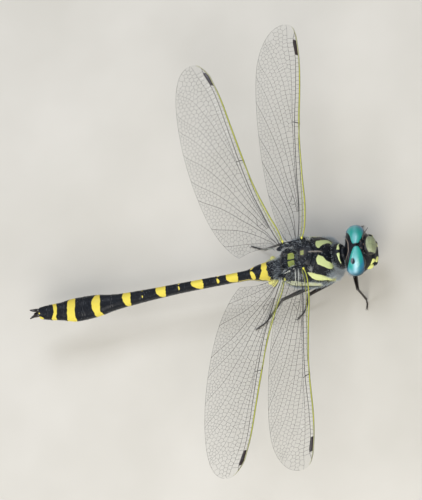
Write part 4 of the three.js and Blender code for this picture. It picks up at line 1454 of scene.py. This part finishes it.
class VeinMap:
    # places on a wing: (span, share of the chord) to (span, chord), and the long veins on it
    def __init__(self, wing):
        self.length = wing["length"]
        self.front, self.rear = wingEdges(wing)
        self.s = np.linspace(0, self.length * 0.9995, 900)
        lead, trail = self.edges(self.s)
        lines = [lead]
        for _, knots in wing["veins"]:
            knots = np.array(knots)
            share = np.clip(curveThrough(self.s / self.length, knots[:, 0], knots[:, 1]), 0, 1)
            share[self.s / self.length >= knots[-2, 0]] = knots[-1, 1]
            straight = np.interp(self.s / self.length, knots[:, 0], knots[:, 1])
            share = np.where(straight >= 1, 1, np.minimum(share, 1))
            lines.append(lead + (trail - lead) * share)
        lines.append(trail)
        for k in range(1, len(lines)):
            lines[k] = np.maximum(lines[k], lines[k - 1])
        # the lines are eased near the root, so that they leave it without a kink
        window = np.hanning(61) / np.hanning(61).sum()
        nearRoot = smoothStep(7.0, 3.0, self.s)
        for k in range(1, len(lines) - 1):
            eased = np.convolve(np.pad(lines[k], 30, mode="edge"), window, "valid")
            eased = np.clip(lines[k] + nearRoot * (eased - lines[k]), lead, trail)
            lines[k] = np.maximum(eased, lines[k - 1])
        self.lines = np.array(lines)

    def edges(self, s):
        return np.interp(s, *self.front.T), np.interp(s, *self.rear.T)

    def line(self, k, s):
        return np.interp(s, self.s, self.lines[k])

    def leaves(self, k):
        # the place along the wing where long vein k leaves the one before it
        gap = self.lines[k] - self.lines[k - 1]
        clear = np.argmax(gap > 0.3) if (gap > 0.3).any() else 0
        close = np.flatnonzero(gap[:clear] <= 0.05)
        return self.s[close[-1]] if len(close) else 0.0

    def pleat(self, s, c):
        # height of the pleated blade: ridges and furrows at the front veins, flat at the rear
        index = np.zeros(len(s))
        columns = np.clip(np.searchsorted(self.s, s), 0, len(self.s) - 1)
        for k in range(len(self.lines) - 1):
            low, high = self.lines[k][columns], self.lines[k + 1][columns]
            share = np.clip((c - low) / np.maximum(high - low, 1e-4), 0, 1)
            index += np.where(high - low > 1e-3, share, (c >= low) * 1.0)
        lead, trail = self.edges(s)
        share = np.clip((c - lead) / np.maximum(trail - lead, 0.3), 0, 1)
        ends = smoothStep(0, 2.5, s) * smoothStep(self.length, self.length - 4, s)
        return np.cos(math.pi * np.minimum(index, 4.5)) * (1 - share) ** 1.6 * ends


def costaHalf(s, wing, plan):
    # half the width of the costa along the wing
    return plan["costa"] * np.interp(s / wing["length"], [0, 0.12, 0.5, 0.93, 1], [0.85, 1.1, 1, 0.8, 0.25])


class Band:
    # the strip between long veins k and k + 1
    def __init__(self, veinMap, k):
        self.s = veinMap.s
        self.edges = veinMap.lines[k], veinMap.lines[k + 1]

    def holds(self, p, margin=0.0):
        low, high = (np.interp(p[:, 0], self.s, edge) for edge in self.edges)
        return (p[:, 1] > low + margin) & (p[:, 1] < high - margin)


def scatterSeeds(veinMap, k, cell, start):
    # one seed for each cell, in staggered rows across the band
    seeds = []
    s = start
    while s < veinMap.length - 0.3:
        low, high = veinMap.line(k, s), veinMap.line(k + 1, s)
        if high - low > 0.16:
            lead, trail = veinMap.edges(s)
            size = cell * (1 - 0.3 * smoothStep(0.55, 1.0, (low + high - 2 * lead) / 2 / (trail - lead)))
            rows = max(1, int(round((high - low) / size)))
            for j in range(rows):
                share = (j + 0.5 + random.uniform(-0.12, 0.12)) / rows
                shift = 0.5 * size * (j % 2) + random.uniform(-0.1, 0.1) * size
                seeds.append((s + shift, low + (high - low) * share))
            s += size * 0.93
        else:
            s += 0.3
    return np.array(seeds).reshape(-1, 2)


def seedMesh(band, seeds):
    # triangles between the seeds and their mirror images beyond both veins
    every = [seeds]
    for edge in band.edges:
        slope = np.clip(np.interp(seeds[:, 0], band.s, np.gradient(edge, band.s)), -3, 3)
        away = (seeds[:, 1] - np.interp(seeds[:, 0], band.s, edge)) / np.sqrt(1 + slope**2)
        normal = np.stack([-slope, np.ones(len(slope))], -1) / np.sqrt(1 + slope**2)[:, None]
        every.append(seeds - 2 * away[:, None] * normal)
    flat = [Vector(p) for p in np.concatenate(every).tolist()]
    points, _, faces, origin, _, _ = mathutils.geometry.delaunay_2d_cdt(flat, [], [], 0, 1e-7)
    source = np.array([o[0] if o else -1 for o in origin])
    own = (source >= 0) & (source < len(seeds))
    return np.array([tuple(p) for p in points]), np.array([tuple(f) for f in faces]), source, own


def evenOut(band, seeds, rounds):
    # each round moves a seed half way to the middle of its neighbours
    for _ in range(rounds):
        points, faces, source, own = seedMesh(band, seeds)
        total, count = np.zeros((len(points), 2)), np.zeros(len(points))
        for a, b in ((0, 1), (1, 2), (2, 0)):
            np.add.at(total, faces[:, a], points[faces[:, b]])
            np.add.at(count, faces[:, a], 1)
        moved = total / np.maximum(count, 1)[:, None]
        fresh = seeds.copy()
        fresh[source[own]] = 0.5 * seeds[source[own]] + 0.5 * moved[own]
        seeds = np.where(band.holds(fresh, 0.03)[:, None], fresh, seeds)
    return seeds


def cellWalls(band, seeds):
    # a wall joins the centres of the two triangles on either side of a line between two seeds
    points, faces, _, own = seedMesh(band, seeds)
    a, b, c = (points[faces[:, i]] for i in range(3))
    ab, ac = b - a, c - a
    twice = 2 * (ab[:, 0] * ac[:, 1] - ab[:, 1] * ac[:, 0])
    twice = np.where(np.abs(twice) < 1e-9, 1e-9, twice)
    abSquare, acSquare = (ab**2).sum(1), (ac**2).sum(1)
    along = ac[:, 1] * abSquare - ab[:, 1] * acSquare
    across = ab[:, 0] * acSquare - ac[:, 0] * abSquare
    centres = a + np.stack([along, across], -1) / twice[:, None]
    walls = {}
    for index, face in enumerate(faces.tolist()):
        for i in range(3):
            pair = tuple(sorted((face[i], face[(i + 1) % 3])))
            if own[pair[0]] and own[pair[1]]:
                walls.setdefault(pair, []).append(index)
    return np.array([centres[both] for both in walls.values() if len(both) == 2]).reshape(-1, 2, 2)


def cutToBand(band, walls, cell):
    # cuts each wall off where it leaves the band
    start, end = walls[:, 0], walls[:, 1]
    good = band.holds(start) | band.holds(end) | band.holds((start + end) / 2)
    start, end = start[good], end[good]
    for _ in range(2):
        middle, startInside = (start + end) / 2, band.holds(start)
        out = ~band.holds(end) & (startInside | band.holds(middle))
        near, far = np.where(startInside[:, None], start, middle), end
        for _ in range(14):
            half = (near + far) / 2
            inBand = band.holds(half)[:, None]
            near, far = np.where(inBand, half, near), np.where(inBand, far, half)
        start, end = np.where(out[:, None], far, end), start
    long = np.linalg.norm(end - start, axis=1)
    good = (long > 0.05) & (long < 4 * cell)
    return np.stack([start[good], end[good]], 1)


def bandCells(veinMap, k, cell, start, rounds):
    # cross veins between long veins k and k + 1: the walls of evenly spread cells
    band = Band(veinMap, k)
    seeds = scatterSeeds(veinMap, k, cell, start)
    seeds = seeds[band.holds(seeds, 0.04)]
    if len(seeds) < 2:
        return np.zeros((0, 2, 2))
    return cutToBand(band, cellWalls(band, evenOut(band, seeds, rounds)), cell)


def wingNetwork(wing, plan):
    # all veins of a wing as paths and straight pieces in (span, chord)
    veinMap = VeinMap(wing)
    length, nodus, arculus = wing["length"], wing["nodus"], wing["arculus"]
    stigmaStart, stigmaEnd = wing["stigma"]
    crosses = []
    # straight rungs between the costa, subcosta and radius
    for k, first, last, step in (
        (0, 1.0, nodus - 0.5, plan["antenodal"]),
        (1, 0.8, nodus - 0.3, plan["antenodal"]),
        (1, nodus + 0.7, stigmaStart - 0.2, plan["postnodal"]),
        (1, stigmaEnd + 0.4, length * 0.96, plan["postnodal"] * 0.7),
        (2, arculus + 0.4, length * 0.95, plan["postnodal"]),
    ):
        s = np.arange(first, last, step)
        s = s + random.uniform(-0.1, 0.1, len(s))
        lean = 0.1 if k == 2 else 0.0
        low, high = veinMap.line(k, s), veinMap.line(k + 1, s + lean)
        low = np.maximum(low, veinMap.edges(s)[0] + 1.5 * costaHalf(s, wing, plan))
        rungs = np.stack([np.stack([s, low], -1), np.stack([s + lean, high], -1)], 1)
        crosses.append(rungs[high - low > 0.08])
    for k in range(3, len(wing["veins"]) + 1):
        # nothing crosses the open space before the arculus
        first = arculus if k <= 8 else 0.8
        crosses.append(bandCells(veinMap, k, wing["cell"], first, plan["evenings"]))
    foot, head = (arculus, veinMap.line(2, arculus)), (arculus + 0.1, veinMap.line(9, arculus + 0.1))
    crosses.append(np.array([[foot, head]]))
    lines = []
    for k, (radius, knots) in enumerate(wing["veins"], 1):
        start = max(veinMap.leaves(k), arculus if 3 <= k <= 8 else 0.0)
        s = np.arange(start, length * 0.998, 0.35)
        lead, trail = veinMap.edges(s)
        c = veinMap.line(k, s)
        along = c - lead > 0.02 if knots[-1][1] == 0 else trail - c > 0.02
        stop = max(len(s) if along[1:].all() else np.argmin(along) + 1, 4)
        lines.append((np.stack([s[:stop], c[:stop]], -1), radius))
    s = np.linspace(0, length * 0.9995, 240)
    return veinMap, np.concatenate(crosses), lines, np.stack([s, veinMap.edges(s)[1]], -1)


class Blade:
    # one wing on the insect: its directions, and places on its pleated sheet
    def __init__(self, name, wing, veinMap, side, plan):
        self.name, self.wing, self.map, self.plan = name + "_" + side, wing, veinMap, plan
        sign = sidesOfBody[side]
        angles = wing["sweep"][side], wing["dihedral"], wing["pitch"]
        sweep, dihedral, pitch = (math.radians(a) for a in angles)
        flat = math.cos(dihedral)
        self.root = np.array(wing["root"]) * (1, sign, 1)
        self.span = np.array([math.sin(sweep) * flat, sign * math.cos(sweep) * flat, math.sin(dihedral)])
        chord = np.array([-math.cos(pitch), 0, math.sin(pitch)])
        self.chord = unit(chord - self.span * (chord @ self.span))
        normal = np.cross(self.span, self.chord)
        self.normal = normal * math.copysign(1, normal[2])

    def place(self, s, c, lift=0.0):
        s, c = np.asarray(s, float), np.asarray(c, float)
        height = self.plan["fold"] * self.map.pleat(s.ravel(), c.ravel()).reshape(s.shape) + lift
        flat = self.root + s[..., None] * self.span + c[..., None] * self.chord
        return flat + height[..., None] * self.normal

    def build(self, part, shape, surface, replaced=(), values=None):
        buildPiece(self.name + "_" + part, shape, surface, replaced, values)


def costaLine(blade):
    # places along the costa, the leading edge there and half the costa's width
    s = np.linspace(-0.2, blade.wing["length"] * 0.985, 260)
    return s, blade.map.edges(s)[0], costaHalf(s, blade.wing, blade.plan)


def buildFilm(blade):
    s = easedSteps(-0.1, blade.wing["length"] * 0.9995, 300, 0.8)
    lead, trail = blade.map.edges(s)
    share = np.linspace(0, 1, 56) ** 1.4
    sheet = np.repeat(s[:, None], len(share), 1), lead[:, None] + (trail - lead)[:, None] * share
    upper, lower = (blade.place(*sheet, lift) for lift in (blade.plan["film"] / 2, -blade.plan["film"] / 2))
    blade.build("film", twoSided(upper, lower), filmSurface, (blade.name,))


def buildVeins(blade, crosses, lines, edge):
    # dark veins: the net, the long veins and the thin rim at the rear
    wing, veinMap, place = blade.wing, blade.map, blade.place
    length, nodus = wing["length"], wing["nodus"]
    lead, trail = veinMap.edges(crosses[:, 0, 0])
    share = (crosses[:, 0, 1] - lead) / np.maximum(trail - lead, 0.3)
    radii = blade.plan["crossVein"] * (1.15 - 0.45 * share)
    shapes = [rods(place(*crosses[:, 0].T), place(*crosses[:, 1].T), radii, 4)]
    for line, radius in lines:
        shapes.append(tube(place(*line.T), radius * (1 - 0.55 * line[:, 0] / length), 6))
    shapes.append(tube(place(*edge.T), np.full(len(edge), blade.plan["rearVein"]), 5))
    # dark lips before and behind the costa
    s, lead, wide = costaLine(blade)
    for shift in (-1.0, 1.0):
        shapes.append(tube(place(s, lead + wide + shift * wide * 0.92), 0.24 * wide, 6))
    # the stout cross veins of the nodus, and the triangle
    front = veinMap.edges(nodus)[0] + 0.1
    for k, reach in ((2, 0.09), (3, 0.06)):
        start, end = place([nodus, nodus + 0.15 * k], [front, veinMap.line(k, nodus)])
        shapes.append(tube(np.linspace(start, end, 5), np.full(5, reach), 6))
    corners = np.array([(share * length, veinMap.line(k, share * length)) for share, k in wing["triangle"]])
    corners = place(*corners.T)
    shapes.append(rods(corners, np.roll(corners, -1, 0), np.full(3, blade.plan["triangleVein"]), 5))
    blade.build("veins", joined(shapes), veinDark)


def buildCosta(blade):
    # the costa, and the base of the vein behind it, are yellow and fade towards the stigma
    length, stigmaStart = blade.wing["length"], blade.wing["stigma"][0]
    s, lead, wide = costaLine(blade)
    costa = tube(blade.place(s, lead + wide), wide * 0.82, 10, 0.8)
    t = np.linspace(0.3, length * 0.3, 90)
    taper = 0.04 * np.interp(t, [0, length * 0.21, length * 0.3], [1, 0.8, 0.2])
    shape = joined([costa, tube(blade.place(t, blade.map.line(1, t), 0.05), taper, 6)])
    along = (shape[0] - blade.root) @ blade.span
    values = {"pale": 0.9 * smoothStep(stigmaStart - 4, stigmaStart + 0.5, along)}
    blade.build("costa", shape, veinYellow, (), values)


def buildFolds(blade):
    # the pale folds of the root
    s = np.linspace(-0.3, 2.8, 30)
    wide = 0.075 * np.sin(math.pi * (s + 0.4) / 3.4) ** 0.6
    shapes = [tube(blade.place(s, np.full(30, c), 0.03), wide, 8) for c in blade.wing["folds"]]
    blade.build("folds", joined(shapes), foldWhite)


def buildMembranule(blade):
    # a pale web along the rear of the wing root, in folds
    reach, wide = blade.wing["membranule"]
    s = np.linspace(-0.6, reach, 40)
    share = np.linspace(0, 1, 24)
    rear = blade.map.edges(np.clip(s, 0, None))[1]
    depth = wide * np.sqrt(np.clip(1 - s / (reach + 0.05), 0.02, 1)) * smoothStep(-0.8, 0.3, s)
    sheet = np.repeat(s[:, None], len(share), 1), rear[:, None] - 0.1 + depth[:, None] * share
    folds = 0.025 * np.sin(7 * sheet[0] + 4 * sheet[1]) - 0.25 * share * (sheet[0] < reach)
    shape = twoSided(blade.place(*sheet, folds + 0.035), blade.place(*sheet, folds - 0.035))
    blade.build("membranule", shape, membranule)


def buildStigma(blade):
    # the pterostigma: a dark, slightly domed cell behind the costa
    start, end = blade.wing["stigma"]
    t = easedSteps(start, end, 60, 0.6)
    lead = blade.map.edges(t)[0] + 0.16
    rear = blade.map.line(2, t + 0.15) - 0.03
    u = np.linspace(0, 1, 12)
    middle = blade.place(t[:, None] + 0.25 * u, lead[:, None] + (rear - lead)[:, None] * u)
    bulge = bell((t - (start + end) / 2) / (end - start), 0.9)[:, None]
    dome = 0.03 + 0.05 * np.sqrt(np.clip(1 - (2 * u - 1) ** 2, 0, 1)) * bulge
    rise = dome[..., None] * blade.normal
    blade.build("stigma", twoSided(middle + rise, middle - rise), stigmaDark)


for name, wing in (("forewing", forewing), ("hindwing", hindwing)):
    veinMap, crosses, lines, edge = wingNetwork(wing, wingPlan)
    for side in sidesOfBody:
        blade = Blade(name, wing, veinMap, side, wingPlan)
        buildFilm(blade)
        buildVeins(blade, crosses, lines, edge)
        buildCosta(blade)
        if side == "right":  # only there does the light catch the folds
            buildFolds(blade)
        buildMembranule(blade)
        buildStigma(blade)
    print(name, "ready:", len(crosses), "cross veins")

# wing hinges
hingePlan = {
    # dark plates between the thorax and the wing base: centre and half sizes on the left side
    "plates": [
        ((-14.35, 2.9, 5.45), (0.75, 0.6, 0.34)),
        ((-15.4, 2.7, 5.4), (1.05, 0.55, 0.3)),
        ((-16.5, 2.75, 5.15), (1.1, 0.6, 0.26)),
        ((-17.6, 2.85, 4.85), (1.0, 0.6, 0.24)),
        ((-19.35, 3.4, 3.5), (0.8, 0.66, 0.4)),
        ((-20.1, 2.9, 3.2), (0.85, 0.5, 0.3)),
        ((-18.6, 3.2, 4.1), (0.8, 0.5, 0.3)),
    ],
    # the bright end of the costa
    "knobs": [((-14.3, 3.27, 5.9), (0.21, 0.27, 0.17)), ((-19.2, 4.05, 3.98), (0.22, 0.3, 0.18))],
    # the pale fold behind the plates
    "fold": [(-19.1, 2.98, 4.4), (-18.3, 3.06, 4.97), (-17.3, 2.88, 5.2), (-16.2, 2.71, 5.5)],
    "foldSize": 0.16,
}


def buildHinges(plan):
    for side, sign in sidesOfBody.items():
        for part, surface in (("plates", headChitin), ("knobs", knobSurface)):
            lumps = [blob(np.array(centre) * (1, sign, 1), radii, (28, 18)) for centre, radii in plan[part]]
            shape = joined(lumps)
            values = {"yellow": np.full(len(shape[0]), -1.0)}
            buildPiece("wing_" + part + "_" + side, shape, surface, (), values)
        s, path = pathThrough(np.array(plan["fold"]) * (1, sign, 1), 40)
        radii = plan["foldSize"] * (0.7 + 0.3 * np.sin(5 * s)) * np.sin(math.pi * (s + 0.1) / 3.2)
        # painted shade: the left fold, which lies in shadow, gets the grey of the membranule; the right one
        # is whitish
        surface = foldWhite if side == "right" else membranule
        buildPiece("wing_fold_" + side, tube(path, radii, 12), surface)


buildHinges(hingePlan)

# hair
hairPlan = {
    "wingRim": [(-19.3, 2.2), (-17.8, 2.35), (-16.6, 2.2)],  # (x, y) of the left rim
    # for each coat: how many hairs, their length and thickness in mm, their bend, and what is
    # added to the way they point; a hair is 0.02 mm thick in life, drawn thicker so that it shows
    "hair_thorax_long": (4200, 0.95, 0.045, 0.12, (-0.3, 0, 0.15)),
    "hair_thorax_short": (10500, 0.5, 0.045, 0.12, (-0.45, 0, 0.1)),
    "hair_wing_roots": (900, 0.5, 0.045, 0.12, (0, 0, 0.1)),
    "hair_shoulders": (1500, 0.55, 0.045, 0.12, (-0.2, 0, 0.1)),
    "hair_abdomen_base": (1300, 0.5, 0.045, 0.12, (-0.6, 0, 0.1)),
    "hair_abdomen_fine": (2600, 0.16, 0.03, 0.0, (-1.2, 0, 0)),
    "hair_head": (1500, 0.6, 0.045, 0.12, (-0.5, 0, -0.1)),
}


def growHair(name, rings, weight, field, surface=paleHair):
    # hairs on a skin's grid, thickest where weight is high, tinted where field is inside a mark
    count, length, thickness, bend, lean = hairPlan[name]
    rows, columns = weight.shape
    normals = gridNormals(rings)
    area = np.linalg.norm(np.cross(np.gradient(rings, axis=0), np.gradient(rings, axis=1)), axis=-1)
    chance = (weight * area).ravel()
    picks = random.choice(rows * columns, count, p=chance / chance.sum())
    i, j = picks // columns, picks % columns
    jitter = random.uniform(-0.5, 0.5, (count, 2))
    back = rings[np.clip(i + 1, 0, rows - 1), j] - rings[i, j]
    aside = rings[i, (j + 1) % columns] - rings[i, j]
    roots = rings[i, j] + back * jitter[:, :1] + aside * jitter[:, 1:]
    normal = normals[i, j]
    way = normal + np.asarray(lean) + random.normal(0, 0.28, (count, 3))
    way /= np.linalg.norm(way, axis=1, keepdims=True)
    way += normal * np.maximum(0, 0.25 - np.sum(way * normal, 1))[:, None]
    long = length * random.uniform(0.6, 1.25, count)
    width = thickness * random.uniform(0.7, 1.2, count)
    shape = bristles(roots - normal * 0.04, roots + way * long[:, None], width, bend)
    # on the map each hair is a patch 0.003 across, at its root's place
    corner = np.array([(math.cos(a), math.sin(a)) for a in (0, 2.09, 4.19)] * 2 + [(0, 0)]) * 0.0015
    place = np.stack([(i + 0.5) / rows, (j + 0.5) / columns], -1) * 0.99 + 0.005
    patches = (place[:, None] + corner).reshape(-1, 2)
    along = np.tile([0, 0, 0, 0.5, 0.5, 0.5, 1.0], count)
    stripe = np.repeat(smoothStep(-0.05, 0.05, field[i, j]), 7)
    buildPiece(name, shape, surface, (), {"along": along, "stripe": stripe}, patches)


def hairOnThorax():
    x, y, z = np.moveaxis(trunkRings, -1, 0)
    front = bell(x + 9.9, 0.9) * smoothStep(2.6, 0.2, z)
    flank = smoothStep(2.9, 0.9, z) * smoothStep(-9.4, -10.2, x)
    wingBase = bell(np.abs(y) - 3.2, 1.0) * smoothStep(-13.6, -14.6, x) * smoothStep(2.0, 4.0, z)
    back = 0.05 * smoothStep(-9.6, -10.4, x)
    collar = 0.45 * smoothStep(-7.9, -8.6, x) * smoothStep(-10.0, -9.2, x)
    collar *= 1 - 0.8 * smoothStep(1.0, 2.4, z)
    weight = 4.0 * front + 0.8 * flank + 0.5 * wingBase + back + collar
    weight *= 1 - 0.88 * smoothStep(-0.05, 0.1, trunkYellow)
    weight *= smoothStep(-6.9, -7.4, x) * smoothStep(-20.9, -20.2, x)
    growHair("hair_thorax_long", trunkRings, weight * (0.15 + front + wingBase), trunkYellow)
    growHair("hair_thorax_short", trunkRings, weight, trunkYellow)


def hairAtWings():
    # whitish fringes: along the rim from the hindwing to the forewing, and behind the forewing root
    x, y, z = np.moveaxis(trunkRings, -1, 0)
    away = lineAway(np.stack([x, np.abs(y)], -1).reshape(-1, 2), hairPlan["wingRim"]).reshape(x.shape)
    rim = 0.3 * bell(away, 0.16) * (z > 2.5)
    root = bell(np.hypot(x + 15.9, (z - 4.2) * 0.8), 0.55) * (np.abs(y) > 3.4)
    tuft = bell(np.hypot(x + 13.3, np.abs(y) - 3.1), 0.35) * (z > 3)
    growHair("hair_wing_roots", trunkRings, rim + 0.8 * root + 0.7 * tuft, trunkYellow, whiteHair)


def hairOnShoulders():
    # the lightest down, where the shoulders meet the neck
    x, y, z = np.moveaxis(trunkRings, -1, 0)
    weight = bell(np.hypot(x + 9.9, (z + 0.9) * 0.6), 0.75) * (np.abs(y) > 2) * (x < -9.4)
    growHair("hair_shoulders", trunkRings, weight, trunkYellow, whiteHair)


def hairOnAbdomen():
    back, girth = abdomenBack, np.abs(abdomenGirth)
    front = smoothStep(24.6, 21.6, back) * smoothStep(20.9, 21.3, back)
    front = front * (0.3 + 0.7 * smoothStep(15, 60, girth))
    belly = 0.35 * smoothStep(30, 26, back) * smoothStep(100, 130, girth)
    growHair("hair_abdomen_base", abdomenRings, front + belly, abdomenYellow)
    everywhere = 0.06 + 0.25 * smoothStep(60, 130, girth) + 0 * back
    growHair("hair_abdomen_fine", abdomenRings, everywhere, abdomenYellow)


def hairOnHead():
    x, _, z = np.moveaxis(headRings, -1, 0)
    behind = smoothStep(-5.6, -6.4, x) * smoothStep(1.8, 0.4, z)
    under = 0.35 * smoothStep(-0.8, -2.0, z)
    growHair("hair_head", headRings, behind + under, np.full(x.shape, -1.0))


hairOnThorax()
hairAtWings()
hairOnShoulders()
hairOnAbdomen()
hairOnHead()
print("hair ready")
